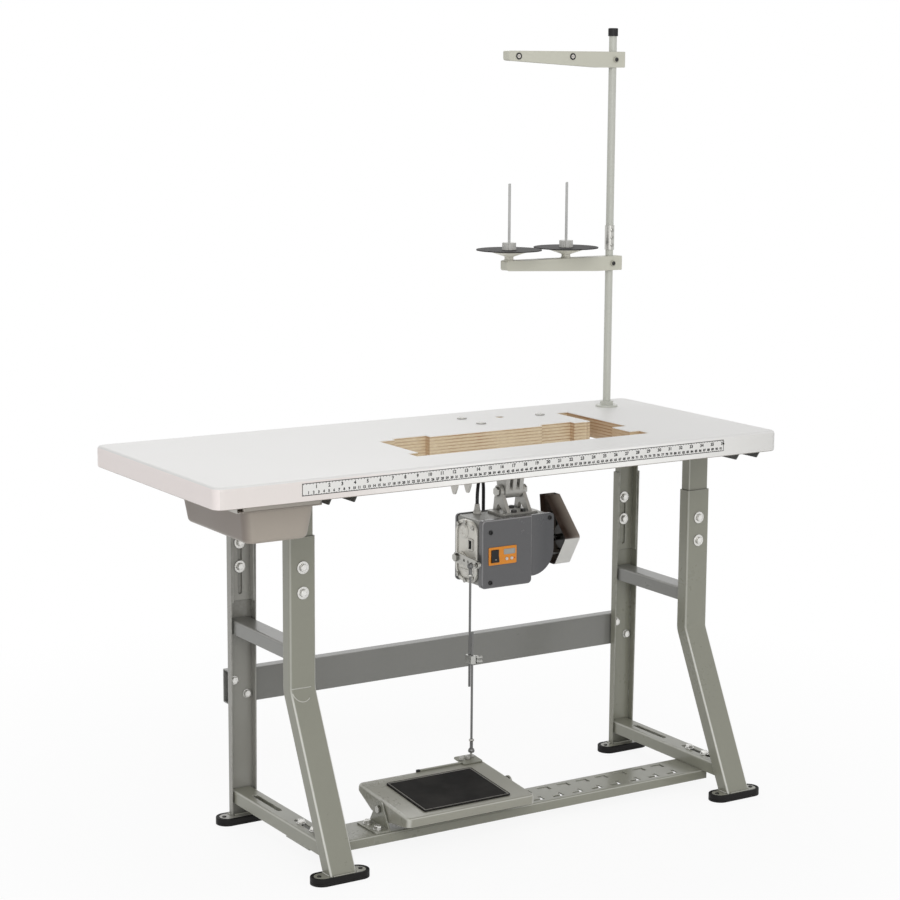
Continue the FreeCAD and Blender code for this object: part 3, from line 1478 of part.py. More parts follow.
def make_drawer():
    floor = drawer_top_z - drawer_depth
    outer = tray_solid(0, floor, drawer_top_z)
    outer = outer.makeFillet(drawer_floor_r, [e for e in outer.Edges if e.BoundBox.ZMax < floor + 0.05])
    inner = tray_solid(drawer_wall, floor + drawer_wall, drawer_top_z + 1)
    inner_floor = [e for e in inner.Edges if e.BoundBox.ZMax < floor + drawer_wall + 0.05]
    inner = inner.makeFillet(drawer_floor_r - drawer_wall, inner_floor)
    rim_x = drawer_width / 2 + drawer_rim
    y0, y1 = drawer_front_y - drawer_rim_front, drawer_front_y + drawer_length + drawer_rim_front
    corners = rectangle(drawer_x - rim_x, drawer_x + rim_x, y0, y1)
    rim_z = drawer_top_z - drawer_rim_thickness
    rim = prism(corners, drawer_rim_corner_r, on_xy(rim_z), V(0, 0, drawer_rim_thickness))
    return outer.fuse(rim).cut(inner).removeSplitter()


def make_runners():
    """Folded strips screwed under the table, with a lip below each side of the drawer rim."""
    parts = []
    rim_x = drawer_width / 2 + drawer_rim
    y0, y1 = drawer_front_y + runner_front_inset, drawer_front_y + drawer_length - runner_back_inset
    lip_top = drawer_top_z - drawer_rim_thickness - runner_gap
    for sign in (-1, 1):
        wall_in = rim_x + runner_side_gap
        wall_out = wall_in + runner_sheet
        pieces = [(wall_in, wall_out, lip_top - runner_sheet, table_under_z)]
        pieces.append((rim_x - runner_lip, wall_out, lip_top - runner_sheet, lip_top))
        if sign < 0:
            pieces.append((wall_in, wall_out + runner_flange, table_under_z - runner_sheet, table_under_z))
        else:
            pieces.append((wall_in - runner_flange, wall_out, table_under_z - runner_sheet, table_under_z))
        solids = []
        for a, b, z0, z1 in pieces:
            xa, xb = sorted((drawer_x + sign * a, drawer_x + sign * b))
            solids.append(block(xa, xb, y0, y1, z0, z1))
        parts.append(solids[0].fuse(solids[1:]).removeSplitter())
    return Part.makeCompound(parts)


# Thread stand
def make_mast(z0, z1):
    bar = cyl_z(mast_r, z0, z1, mast_x, mast_y)
    return bar.cut(cyl_z(mast_r - mast_wall, z0 - 1, z1 + 1, mast_x, mast_y))


def make_coupling():
    z0 = mast_joint_z - coupling_length / 2
    sleeve = cyl_z(coupling_r, z0, z0 + coupling_length, mast_x, mast_y)
    return sleeve.cut(cyl_z(mast_r + mast_grip_gap, z0 - 1, z0 + coupling_length + 1, mast_x, mast_y))


def make_stand_base():
    z = table_top_z
    flange = cyl_z(base_flange_r, z, z + base_flange_height, mast_x, mast_y)
    seat = z + base_flange_height
    flange = flange.makeFillet(base_flange_edge_r, [e for e in flange.Edges if e.BoundBox.ZMin > seat - 0.05])
    collar_height = base_collar_height - base_flange_height
    collar = hex_prism(2 * base_collar_r, V(mast_x, mast_y, seat), V(0, 0, 1), collar_height)
    upper = flange.fuse(collar)
    low = table_under_z
    washer = cyl_z(base_flange_r, low - base_washer, low, mast_x, mast_y)
    nut = hex_prism(2 * base_collar_r, V(mast_x, mast_y, low - base_washer), V(0, 0, -1), nut_height)
    lower = washer.fuse(nut)
    bore = cyl_z(mast_r + mast_grip_gap, low - mast_below_table, z + base_collar_height + 1, mast_x, mast_y)
    return Part.makeCompound([upper.cut(bore).removeSplitter(), lower.cut(bore).removeSplitter()])


def make_cap():
    z1 = mast_top_z + cap_top
    cap = cyl_z(cap_r, z1 - cap_height, z1, mast_x, mast_y)
    cap = cap.makeFillet(cap_edge_r, [e for e in cap.Edges if e.BoundBox.ZMin > z1 - 0.05])
    return cap.cut(cyl_z(mast_r + mast_grip_gap, z1 - cap_height - 1, mast_top_z, mast_x, mast_y))


def arm_channel(width, top, root_height, tip_height):
    """Tapered channel open downwards, pointing left from the mast, with a closed tip."""
    x0, x1 = mast_x - arm_reach, mast_x + arm_tail
    y0 = mast_y - width / 2
    low = top - root_height
    side = [(x0, top), (x0, top - tip_height), (mast_x - arm_taper_from_mast, low), (x1, low), (x1, top)]
    body = prism(side, arm_corner_radii, on_xz(y0), V(0, width, 0))
    s = arm_sheet
    inner = rectangle(x0 + s, x1 + 1, low - 1, top - s)
    body = body.cut(prism(inner, 0, on_xz(y0 + s), V(0, width - 2 * s, 0)))
    return body.cut(cyl_z(mast_r + arm_play, low - 1, top + 1, mast_x, mast_y))


def arm_screw(width, top, root_height):
    """Clamp screw through the front flange, its end just short of the mast."""
    y0 = mast_y - width / 2
    z = top - root_height / 2
    shank = cyl_y(arm_screw_r, y0 - 1, mast_y - mast_r - arm_play, mast_x, z)
    return shank.fuse(cyl_y(arm_screw_head_r, y0 - arm_screw_head, y0, mast_x, z))


def make_spool_arm():
    arm = arm_channel(spool_arm_width, spool_arm_top_z, spool_arm_root_height, spool_arm_tip_height)
    return arm.fuse(arm_screw(spool_arm_width, spool_arm_top_z, spool_arm_root_height)).removeSplitter()


def make_guide_arm():
    arm = arm_channel(guide_arm_width, guide_arm_top_z, guide_arm_root_height, guide_arm_tip_height)
    z = guide_arm_top_z - guide_arm_tip_height / 2 - eyelet_below_middle
    for reach in (eyelet_near, eyelet_far):
        arm = arm.cut(cyl_y(eyelet_r, mast_y - guide_arm_width, mast_y + guide_arm_width, mast_x - reach, z))
    return arm.fuse(arm_screw(guide_arm_width, guide_arm_top_z, guide_arm_root_height)).removeSplitter()


def spool_places():
    return [mast_x - spool_near, mast_x - spool_far]


def revolved(profile, x):
    """Solid of revolution about a spool's upright axis, from (radius, height) corners."""
    wire = Part.makePolygon([V(x + r, mast_y, z) for r, z in profile + profile[:1]])
    return Part.Face(wire).revolve(V(x, mast_y, 0), V(0, 0, 1), 360)


def rest_levels():
    neck = spool_arm_top_z + rest_neck_height
    cone = neck + rest_cone_height
    plate = cone + rest_plate_height
    return neck, cone, plate


def make_spool_rests():
    neck, cone, plate = rest_levels()
    z = spool_arm_top_z
    foot_r, foot_z = rest_neck_r + rest_foot_lip, z + rest_foot_height
    profile = [(0, z), (foot_r, z), (foot_r, foot_z), (rest_neck_r, foot_z), (rest_neck_r, neck)]
    profile += [(rest_plate_r, cone), (rest_plate_r, plate), (0, plate)]
    return Part.makeCompound([revolved(profile, x) for x in spool_places()])


def make_spool_discs():
    z = rest_levels()[2]
    top = z + disc_thickness
    flat_r = disc_r * disc_flat_share
    edge = z + disc_dish
    edge_top = edge + disc_thickness * disc_edge_share
    profile = [(disc_bore_r, z), (flat_r, z), (disc_r, edge), (disc_r, edge_top)]
    profile += [(flat_r, top), (disc_bore_r, top)]
    return Part.makeCompound([revolved(profile, x) for x in spool_places()])


def make_spool_pins():
    """Fluted hub with a round-nosed pin, standing through the disc on the rest."""
    z = rest_levels()[2]
    seat = z + disc_thickness
    pins = []
    for x in spool_places():
        hub = cyl_z(spool_hub_r, seat, seat + spool_hub_height, x, mast_y)
        flutes = []
        for i in range(hub_flute_count):
            angle = 2 * math.pi * i / hub_flute_count
            fx, fy = x + spool_hub_r * math.cos(angle), mast_y + spool_hub_r * math.sin(angle)
            flutes.append(cyl_z(spool_flute_r, seat - 1, seat + spool_hub_height + 1, fx, fy))
        hub = hub.cut(flutes)
        root = cyl_z(disc_bore_r - hub_root_gap, z, seat + 1, x, mast_y)
        pin = cyl_z(spool_pin_r, seat, seat + spool_pin_height, x, mast_y)
        tip = [e for e in pin.Edges if e.BoundBox.ZMin > seat + spool_pin_height - 0.05]
        pin = pin.makeFillet(spool_pin_r * spool_pin_nose_share, tip)
        pins.append(hub.fuse([root, pin]).removeSplitter())
    return Part.makeCompound(pins)


def build():
    nodes = {}
    for side, x in leg_centres.items():
        nodes[side + "_front_leg"] = make_front_leg(x)
        nodes[side + "_rear_leg"] = make_rear_leg(x)
        nodes[side + "_lower_rail"] = make_lower_rail(x)
        nodes[side + "_upper_brace"] = side_channel(x, brace_bottom_z, brace_height)
        nodes[side + "_pedal_bracket"] = make_bracket(side)
        nodes[side + "_table_support"] = make_support(x)
        nodes[side + "_front_post"] = make_post(x, "front")
        nodes[side + "_rear_post"] = make_post(x, "rear")
    feet = [make_foot(x, row) for x in leg_centres.values() for row in ("front", "rear")]
    nodes["rubber_feet"] = Part.makeCompound(feet)
    nodes["rear_crossbeam"] = make_crossbeam()
    nodes["pedal_bar"] = make_pedal_bar()
    nodes["frame_bolts"] = make_frame_bolts()
    nodes["pedal_pins"] = make_pedal_pins()
    nodes["table_top"] = make_table_top()
    nodes["front_ruler"] = ruler_box(-table_depth / 2, -table_depth / 2 + ruler_thickness)
    nodes["drawer_runners"] = make_runners()
    nodes["drawer"] = make_drawer()
    nodes["motor_base"] = make_motor_base()
    nodes["motor_bolts"] = make_motor_bolts()
    nodes["motor_cradle"] = make_cradle()
    nodes["motor_housing"] = make_housing()
    nodes["motor_front_cover"] = make_front_cover()
    nodes["motor_rear_cover"] = make_back_cover()
    nodes["motor_end_cover"] = make_end_cover()
    nodes["control_panel"] = make_control_panel()
    nodes["rocker_switch"] = make_rocker()
    nodes["speed_down_button"] = make_button(button_places()[0])
    nodes["speed_up_button"] = make_button(button_places()[1])
    nodes["motor_shaft"] = make_shaft()
    nodes["motor_pulley"] = make_pulley()
    nodes["belt_guard"] = make_belt_guard()
    nodes["cable_gland"] = make_gland()
    nodes["motor_cable"] = make_cable()
    nodes["hanger_bracket"] = make_hanger()
    nodes["speed_lever"] = make_lever()
    nodes["upper_ball_stud"] = make_upper_stud()
    nodes["upper_rod"] = make_upper_rod()
    nodes["lower_rod"] = make_lower_rod()
    nodes["rod_clamp"] = make_rod_clamp()
    nodes["pedal"] = make_pedal()
    nodes["pedal_mat"] = make_mat()
    nodes["pedal_stud"] = make_pedal_stud()
    nodes["stand_rod_lower"] = make_mast(table_under_z - mast_below_table, mast_joint_z)
    nodes["stand_rod_upper"] = make_mast(mast_joint_z, mast_top_z)
    nodes["rod_coupling"] = make_coupling()
    nodes["stand_base"] = make_stand_base()
    nodes["rod_cap"] = make_cap()
    nodes["spool_arm"] = make_spool_arm()
    nodes["spool_rests"] = make_spool_rests()
    nodes["spool_discs"] = make_spool_discs()
    nodes["spool_pins"] = make_spool_pins()
    nodes["guide_arm"] = make_guide_arm()
    return nodes


def main():
    os.makedirs("parts", exist_ok=True)
    for name, shape in build().items():
        shape.translate(frame_shift)
        shape.exportStep("parts/" + name + ".step")


main()
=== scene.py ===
import json
import math

import bpy
from mathutils import Matrix, Vector
from mathutils.bvhtree import BVHTree


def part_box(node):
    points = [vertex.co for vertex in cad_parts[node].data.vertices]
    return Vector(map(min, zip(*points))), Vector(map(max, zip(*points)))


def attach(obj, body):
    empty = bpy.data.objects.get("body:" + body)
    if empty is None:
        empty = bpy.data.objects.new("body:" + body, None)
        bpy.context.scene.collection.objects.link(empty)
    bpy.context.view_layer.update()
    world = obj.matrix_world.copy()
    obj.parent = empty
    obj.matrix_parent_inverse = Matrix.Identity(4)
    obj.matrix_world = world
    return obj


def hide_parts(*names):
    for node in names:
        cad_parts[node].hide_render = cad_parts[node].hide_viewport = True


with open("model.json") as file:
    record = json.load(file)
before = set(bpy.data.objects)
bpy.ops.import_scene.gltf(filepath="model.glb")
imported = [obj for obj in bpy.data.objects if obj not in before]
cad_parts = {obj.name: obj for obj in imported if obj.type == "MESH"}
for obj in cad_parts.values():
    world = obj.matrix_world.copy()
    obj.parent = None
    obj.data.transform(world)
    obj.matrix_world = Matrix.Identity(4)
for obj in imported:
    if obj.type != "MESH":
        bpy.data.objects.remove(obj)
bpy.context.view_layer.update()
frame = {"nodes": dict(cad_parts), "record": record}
nodes = frame["nodes"]
slotOf = {part["node"]: part["material_slot"] for part in frame["record"]["subparts"]}
mm = 0.001
near = 1e-5  # places closer than this are the same
mergeGap = 2e-6
print("frame loaded:", len(nodes), "nodes")


# Selecting and shaping

def deselectAll():
    if bpy.context.mode != "OBJECT":
        bpy.ops.object.mode_set(mode="OBJECT")
    bpy.ops.object.select_all(action="DESELECT")


def makeActive(piece):
    deselectAll()
    piece.select_set(True)
    bpy.context.view_layer.objects.active = piece


def startBox(name, centre, size):
    deselectAll()
    bpy.ops.mesh.primitive_cube_add(size=1.0, location=centre)
    piece = bpy.context.active_object
    piece.name = name
    piece.scale = size
    bpy.ops.object.transform_apply(location=True, rotation=True, scale=True)
    return piece


def startRound(name, centre, radius, depth, sides):
    deselectAll()
    bpy.ops.mesh.primitive_cylinder_add(vertices=sides, radius=radius, depth=depth, location=centre)
    piece = bpy.context.active_object
    piece.name = name
    bpy.ops.object.transform_apply(location=True, rotation=True, scale=True)
    return piece


selectModes = {"vertices": (True, False, False), "edges": (False, True, False),
               "polygons": (False, False, True)}


def pick(piece, kind, test):  # edit mode, with only what passes the test selected
    makeActive(piece)
    bpy.context.tool_settings.mesh_select_mode = selectModes[kind]
    bpy.ops.object.mode_set(mode="EDIT")
    bpy.ops.mesh.select_all(action="DESELECT")
    bpy.ops.object.mode_set(mode="OBJECT")
    for element in getattr(piece.data, kind):
        element.select = test(element)
    bpy.ops.object.mode_set(mode="EDIT")


def pickFaces(piece, test):
    pick(piece, "polygons", lambda face: test(face.center, face.normal))


def pickEdges(piece, test):
    pick(piece, "edges", lambda edge: test(*(piece.data.vertices[i].co for i in edge.vertices)))


def pickPoints(piece, test):
    pick(piece, "vertices", lambda point: test(point.co))


def looksUp(centre, normal):
    return normal.z > 0.99


def backToObject():
    bpy.ops.object.mode_set(mode="OBJECT")


def shift(piece, test, offset):
    pickPoints(piece, test)
    bpy.ops.transform.translate(value=offset)
    backToObject()


def bevelEdges(piece, test, width, segments):
    pickEdges(piece, test)
    bpy.ops.mesh.bevel(offset=width, segments=segments, affect="EDGES")
    backToObject()


def push(distance):  # the selected faces, along their normals
    bpy.ops.mesh.extrude_region_shrink_fatten(TRANSFORM_OT_shrink_fatten={"value": distance})


def lift(rise):  # the selected faces, straight up
    bpy.ops.mesh.extrude_region_move(TRANSFORM_OT_translate={"value": (0, 0, rise)})


def insetAndPush(piece, test, border, distance):
    pickFaces(piece, test)
    bpy.ops.mesh.inset(thickness=border)
    push(distance)
    backToObject()


def lathe(name, profile, steps, closed=False):
    deselectAll()
    bpy.ops.mesh.primitive_plane_add(size=mm)
    piece = bpy.context.active_object
    piece.name = name
    bpy.ops.object.mode_set(mode="EDIT")
    bpy.ops.mesh.select_mode(type="VERT")
    bpy.ops.mesh.select_all(action="SELECT")
    bpy.ops.mesh.merge(type="CENTER")
    bpy.ops.transform.translate(value=(profile[0][0], 0.0, profile[0][1]))
    chain = list(profile) + ([profile[0]] if closed else [])
    for (r0, z0), (r1, z1) in zip(chain, chain[1:]):
        bpy.ops.mesh.extrude_vertices_move(TRANSFORM_OT_translate={"value": (r1 - r0, 0.0, z1 - z0)})
    bpy.ops.mesh.select_all(action="SELECT")
    bpy.ops.mesh.spin(steps=steps, angle=2 * math.pi, center=(0, 0, 0), axis=(0, 0, 1))
    bpy.ops.mesh.select_all(action="SELECT")
    bpy.ops.mesh.remove_doubles(threshold=mergeGap)
    bpy.ops.mesh.normals_make_consistent(inside=False)
    backToObject()
    return piece


def addObject(name, data):
    thing = bpy.data.objects.new(name, data)
    bpy.context.scene.collection.objects.link(thing)
    return thing


def startTube(name, radius, rings, kind, chains, fineness=12):  # round tubes along chains of points
    curve = bpy.data.curves.new(name, "CURVE")
    curve.dimensions = "3D"
    curve.bevel_depth = radius
    curve.bevel_resolution = rings
    curve.resolution_u = fineness
    curve.use_fill_caps = True
    for chain in chains:
        spline = curve.splines.new(kind)
        spline.points.add(len(chain) - 1)
        for target, point in zip(spline.points, chain):
            target.co = (*point, 1.0)
    return addObject(name, curve)


def joinPieces(name, parts):
    deselectAll()
    for part in parts:
        part.select_set(True)
    bpy.context.view_layer.objects.active = parts[0]
    bpy.ops.object.join()
    parts[0].name = name
    return parts[0]


def smooth(piece, degrees=35.0):
    makeActive(piece)
    bpy.ops.object.shade_smooth_by_angle(angle=math.radians(degrees))


def place(piece, matrix):
    makeActive(piece)
    piece.matrix_world = matrix @ piece.matrix_world
    bpy.ops.object.transform_apply(location=True, rotation=True, scale=True)
    return piece


def copyTo(source, name, matrix):
    makeActive(source)
    bpy.ops.object.duplicate(linked=False)
    piece = bpy.context.active_object
    piece.name = name
    return place(piece, matrix)


def discard(piece):
    makeActive(piece)
    bpy.ops.object.delete()


def standing(origin, direction, turn=0.0):
    spin = Matrix.Rotation(turn, 4, "Z")
    lean = Vector((0, 0, 1)).rotation_difference(Vector(direction).normalized()).to_matrix().to_4x4()
    return Matrix.Translation(Vector(origin)) @ lean @ spin


# Places read from the frame

def nodeBox(name):
    low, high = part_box(name)
    return Vector(low), Vector(high)


def solidBoxes(name):
    mesh = nodes[name].data
    home = {}
    leader = list(range(len(mesh.vertices)))

    def root(i):
        while leader[i] != i:
            leader[i] = leader[leader[i]]
            i = leader[i]
        return i

    for vertex in mesh.vertices:
        key = tuple(round(c, 6) for c in vertex.co)
        leader[root(vertex.index)] = root(home.setdefault(key, vertex.index))
    for face in mesh.polygons:
        first = root(face.vertices[0])
        for corner in face.vertices[1:]:
            leader[root(corner)] = first
    boxes = {}
    for vertex in mesh.vertices:
        low, high = boxes.setdefault(root(vertex.index), (Vector(vertex.co), Vector(vertex.co)))
        for i in range(3):
            low[i] = min(low[i], vertex.co[i])
            high[i] = max(high[i], vertex.co[i])
    return sorted(boxes.values(), key=lambda pair: tuple(round(c, 4) for c in pair[0]))


def topPlane(name):
    total = Vector((0, 0, 0))
    middle = Vector((0, 0, 0))
    area = 0.0
    for face in nodes[name].data.polygons:
        if face.normal.z > 0.9:
            total += face.normal * face.area
            middle += face.center * face.area
            area += face.area
    return middle / area, total.normalized()


def rodLine(name):
    points = [v.co for v in nodes[name].data.vertices]
    low, high = nodeBox(name)
    reach = 4 * mm
    top = [p for p in points if p.z > high.z - reach]
    foot = [p for p in points if p.z < low.z + reach]
    head = sum(top, Vector()) / len(top)
    toe = sum(foot, Vector()) / len(foot)
    return toe, head


# Finishes

def tone(r, g, b):  # a colour as the eye reads it, 0 to 255
    def linear(c):
        c = c / 255
        return c / 12.92 if c <= 0.04045 else ((c + 0.055) / 1.055) ** 2.4
    return (linear(r), linear(g), linear(b), 1.0)


def newGroup(name, inputs, outputs):
    group = bpy.data.node_groups.new(name, "ShaderNodeTree")
    for label, kind, value in inputs:
        socket = group.interface.new_socket(name=label, in_out="INPUT", socket_type=kind)
        if value is not None:
            socket.default_value = value
    for label, kind in outputs:
        group.interface.new_socket(name=label, in_out="OUTPUT", socket_type=kind)
    return group, group.nodes.new("NodeGroupInput"), group.nodes.new("NodeGroupOutput")


def feed(tree, socket, value):
    if isinstance(value, (int, float, tuple)):
        socket.default_value = value
    else:
        tree.links.new(value, socket)


def calc(tree, operation, a, b=None, clamp=False):
    node = tree.nodes.new("ShaderNodeMath")
    node.operation = operation
    node.use_clamp = clamp
    feed(tree, node.inputs[0], a)
    if b is not None:
        feed(tree, node.inputs[1], b)
    return node.outputs[0]


def times(tree, value, *others):
    for other in others:
        value = calc(tree, "MULTIPLY", value, other)
    return value


def plus(tree, a, b):
    return calc(tree, "ADD", a, b)


def minus(tree, a, b):
    return calc(tree, "SUBTRACT", a, b)


def least(tree, a, b):
    return calc(tree, "MINIMUM", a, b)


def most(tree, a, b):
    return calc(tree, "MAXIMUM", a, b)


def above(tree, value, limit):
    return calc(tree, "GREATER_THAN", value, limit)


def below(tree, value, limit):
    return calc(tree, "LESS_THAN", value, limit)


def awayFrom(tree, value, middle):
    return calc(tree, "ABSOLUTE", minus(tree, value, middle))


def reachOf(tree, a, b):  # length of a line that runs a one way and b the other
    return calc(tree, "SQRT", plus(tree, times(tree, a, a), times(tree, b, b)))


def ramp(tree, value, low, high, toLow, toHigh):
    node = tree.nodes.new("ShaderNodeMapRange")
    tree.links.new(value, node.inputs["Value"])
    for label, number in (("From Min", low), ("From Max", high), ("To Min", toLow), ("To Max", toHigh)):
        feed(tree, node.inputs[label], number)
    return node.outputs[0]


def mixColour(tree, factor, a, b):
    node = tree.nodes.new("ShaderNodeMix")
    node.data_type = "RGBA"
    for socket, value in ((node.inputs["Factor"], factor), (node.inputs[6], a), (node.inputs[7], b)):
        feed(tree, socket, value)
    return node.outputs[2]


def noise(tree, coordinates, scale, detail=3.0):
    node = tree.nodes.new("ShaderNodeTexNoise")
    feed(tree, node.inputs["Scale"], scale)
    node.inputs["Detail"].default_value = detail
    tree.links.new(coordinates, node.inputs["Vector"])
    return node.outputs["Fac"]


def xyz(tree, vector):
    node = tree.nodes.new("ShaderNodeSeparateXYZ")
    tree.links.new(vector, node.inputs[0])
    return node.outputs


def facing(tree):
    return xyz(tree, tree.nodes.new("ShaderNodeNewGeometry").outputs["Normal"])


mottleLook = {"fineness": 22.0, "broadShare": 0.7, "fineShare": 0.3, "swing": 4.0}


def buildMottle():
    s = mottleLook
    inputs = [("Vector", "NodeSocketVector", None), ("Base", "NodeSocketColor", (0.5, 0.5, 0.5, 1)),
              ("Spread", "NodeSocketFloat", 0.12), ("Scale", "NodeSocketFloat", 12.0)]
    group, start, end = newGroup("mottle", inputs,
                                 [("Color", "NodeSocketColor"), ("Mask", "NodeSocketFloat")])
    given = start.outputs
    broad = noise(group, given["Vector"], given["Scale"], 4.0)
    fine = noise(group, given["Vector"], times(group, given["Scale"], s["fineness"]), 2.0)
    blend = plus(group, times(group, broad, s["broadShare"]), times(group, fine, s["fineShare"]))
    swing = times(group, minus(group, blend, 0.5), times(group, given["Spread"], s["swing"]))
    scaled = group.nodes.new("ShaderNodeVectorMath")
    scaled.operation = "SCALE"
    group.links.new(given["Base"], scaled.inputs[0])
    group.links.new(plus(group, swing, 1.0), scaled.inputs["Scale"])
    group.links.new(scaled.outputs["Vector"], end.inputs["Color"])
    group.links.new(blend, end.inputs["Mask"])
    return group


edgeSheenLook = {"turn": (0.01, 0.12), "breakup": (0.35, 0.65), "least": 0.2, "samples": 4}


def buildEdgeWear():  # painted highlight on edges, where the rounded normal leaves the true one
    s = edgeSheenLook
    inputs = [("Vector", "NodeSocketVector", None), ("Radius", "NodeSocketFloat", 0.0015),
              ("Breakup", "NodeSocketFloat", 60.0)]
    group, start, end = newGroup("edgeWear", inputs,
                                 [("Edge", "NodeSocketFloat"), ("Normal", "NodeSocketVector")])
    bevel = group.nodes.new("ShaderNodeBevel")
    bevel.samples = s["samples"]
    group.links.new(start.outputs["Radius"], bevel.inputs["Radius"])
    geometry = group.nodes.new("ShaderNodeNewGeometry")
    dot = group.nodes.new("ShaderNodeVectorMath")
    dot.operation = "DOT_PRODUCT"
    group.links.new(bevel.outputs["Normal"], dot.inputs[0])
    group.links.new(geometry.outputs["Normal"], dot.inputs[1])
    turn = minus(group, 1.0, dot.outputs["Value"])
    grain = noise(group, start.outputs["Vector"], start.outputs["Breakup"], 4.0)
    breakup = ramp(group, grain, *s["breakup"], s["least"], 1.0)
    group.links.new(times(group, ramp(group, turn, *s["turn"], 0.0, 1.0), breakup), end.inputs["Edge"])
    group.links.new(bevel.outputs["Normal"], end.inputs["Normal"])
    return group


dustLook = {"facing": (0.5, 1.0), "scale": 14.0, "patches": (0.4, 0.7)}


def buildDust():  # settles on faces that look up, in patches
    s = dustLook
    inputs = [("Vector", "NodeSocketVector", None), ("Amount", "NodeSocketFloat", 0.3)]
    group, start, end = newGroup("dust", inputs, [("Mask", "NodeSocketFloat")])
    up = ramp(group, facing(group)["Z"], *s["facing"], 0.0, 1.0)
    patches = ramp(group, noise(group, start.outputs["Vector"], s["scale"], 5.0), *s["patches"], 0.0, 1.0)
    group.links.new(times(group, up, patches, start.outputs["Amount"]), end.inputs["Mask"])
    return group


creviceLook = {"open": (0.3, 0.85), "samples": 4}


def buildCrevice():  # painted shade in corners and gaps that little light reaches
    s = creviceLook
    group, start, end = newGroup("crevice", [("Reach", "NodeSocketFloat", 0.004)],
                                 [("Mask", "NodeSocketFloat")])
    hidden = group.nodes.new("ShaderNodeAmbientOcclusion")
    hidden.samples = s["samples"]
    group.links.new(start.outputs["Reach"], hidden.inputs["Distance"])
    group.links.new(ramp(group, hidden.outputs["AO"], *s["open"], 1.0, 0.0), end.inputs["Mask"])
    return group


foldLook = {"along": (0.25, 0.6), "across": (0.5, 0.65), "rim": (0.2, 0.55), "lit": (-0.4, 0.4),
            "unlit": 0.15}


def buildFold():  # painted highlight on the rounded folds of bent sheet, where the faces turn from one axis to the next
    s = foldLook
    group, start, end = newGroup("fold", [], [("Mask", "NodeSocketFloat"), ("Rim", "NodeSocketFloat")])
    normal = facing(group)
    x, y, z = (calc(group, "ABSOLUTE", normal[axis]) for axis in "XYZ")
    along = ramp(group, least(group, x, reachOf(group, y, z)), *s["along"], 0.0, 1.0)
    across = ramp(group, least(group, y, z), *s["across"], 0.0, 1.0)
    group.links.new(most(group, along, across), end.inputs["Mask"])
    # Rim: painted highlight round the front face, stronger on faces that look up
    rim = ramp(group, least(group, y, reachOf(group, x, z)), *s["rim"], 0.0, 1.0)
    lit = ramp(group, normal["Z"], *s["lit"], s["unlit"], 1.0)
    group.links.new(times(group, rim, lit), end.inputs["Rim"])
    return group


mottleGroup = buildMottle()
edgeGroup = buildEdgeWear()
dustGroup = buildDust()
creviceGroup = buildCrevice()
foldGroup = buildFold()


def putGroup(tree, group, **values):
    node = tree.nodes.new("ShaderNodeGroup")
    node.node_tree = group
    for label, value in values.items():
        feed(tree, node.inputs[label], value)
    return node


def newMaterial(name):
    material = bpy.data.materials.new(name)
    material.use_nodes = True
    tree = material.node_tree
    return (material, tree, tree.nodes["Principled BSDF"],
            tree.nodes.new("ShaderNodeTexCoord").outputs["Object"])


def addBump(tree, shader, height, strength, distance, normal=None):
    bump = tree.nodes.new("ShaderNodeBump")
    bump.inputs["Strength"].default_value = strength
    bump.inputs["Distance"].default_value = distance
    tree.links.new(height, bump.inputs["Height"])
    if normal is not None:
        tree.links.new(normal, bump.inputs["Normal"])
    tree.links.new(bump.outputs["Normal"], shader.inputs["Normal"])


# the dark crevice colour in these defaults is painted shade for corners and gaps
plainLook = dict(spread=0.06, scale=9.0, roughSpread=0.06, metal=0.0, specular=0.5, round=0.8 * mm,
                 foldKind="Mask", dirt=tone(44, 43, 40), dustColour=tone(190, 186, 178), dustRough=0.3,
                 coatRough=0.12, grainDepth=0.2 * mm)


def surface(name, settings, colourFrom=None):
    look = dict(plainLook, **settings)
    material, tree, shader, coordinates = newMaterial(name)
    base = colourFrom(tree, coordinates) if colourFrom else look["colour"]
    spots = putGroup(tree, mottleGroup, Vector=coordinates, Base=base, Spread=look["spread"],
                     Scale=look["scale"])
    edge = putGroup(tree, edgeGroup, Vector=coordinates, Radius=look["round"])
    colour = spots.outputs["Color"]
    # painted highlight: edges are mixed towards the pale edge colour
    if "edgeHighlight" in look:
        paleSheen = times(tree, edge.outputs["Edge"], look["edgeAmount"])
        colour = mixColour(tree, paleSheen, colour, look["edgeHighlight"])
    # painted highlight: folds are mixed towards the same pale colour
    if "fold" in look:
        fold = times(tree, putGroup(tree, foldGroup).outputs[look["foldKind"]], look["fold"])
        colour = mixColour(tree, fold, colour, look["edgeHighlight"])
    # painted shade: corners and gaps are mixed towards the dark crevice colour
    if "crevice" in look:
        hidden = putGroup(tree, creviceGroup, Reach=look["reach"]).outputs["Mask"]
        colour = mixColour(tree, times(tree, hidden, look["crevice"]), colour, look["dirt"])
    smoothest, roughest = look["rough"] - look["roughSpread"], look["rough"] + look["roughSpread"]
    rough = ramp(tree, spots.outputs["Mask"], 0.3, 0.7, smoothest, roughest)
    if "dust" in look:
        dust = putGroup(tree, dustGroup, Vector=coordinates, Amount=look["dust"]).outputs["Mask"]
        colour = mixColour(tree, dust, colour, look["dustColour"])
        rough = plus(tree, rough, times(tree, dust, look["dustRough"]))
    tree.links.new(colour, shader.inputs["Base Color"])
    tree.links.new(rough, shader.inputs["Roughness"])
    shader.inputs["Metallic"].default_value = look["metal"]
    shader.inputs["Specular IOR Level"].default_value = look["specular"]
    if "coat" in look:
        shader.inputs["Coat Weight"].default_value = look["coat"]
        shader.inputs["Coat Roughness"].default_value = look["coatRough"]
    if "grain" in look:
        grain = noise(tree, coordinates, look["grain"], 2.0)
        addBump(tree, shader, grain, look["grainStrength"], look["grainDepth"], edge.outputs["Normal"])
    else:
        tree.links.new(edge.outputs["Normal"], shader.inputs["Normal"])
    return material


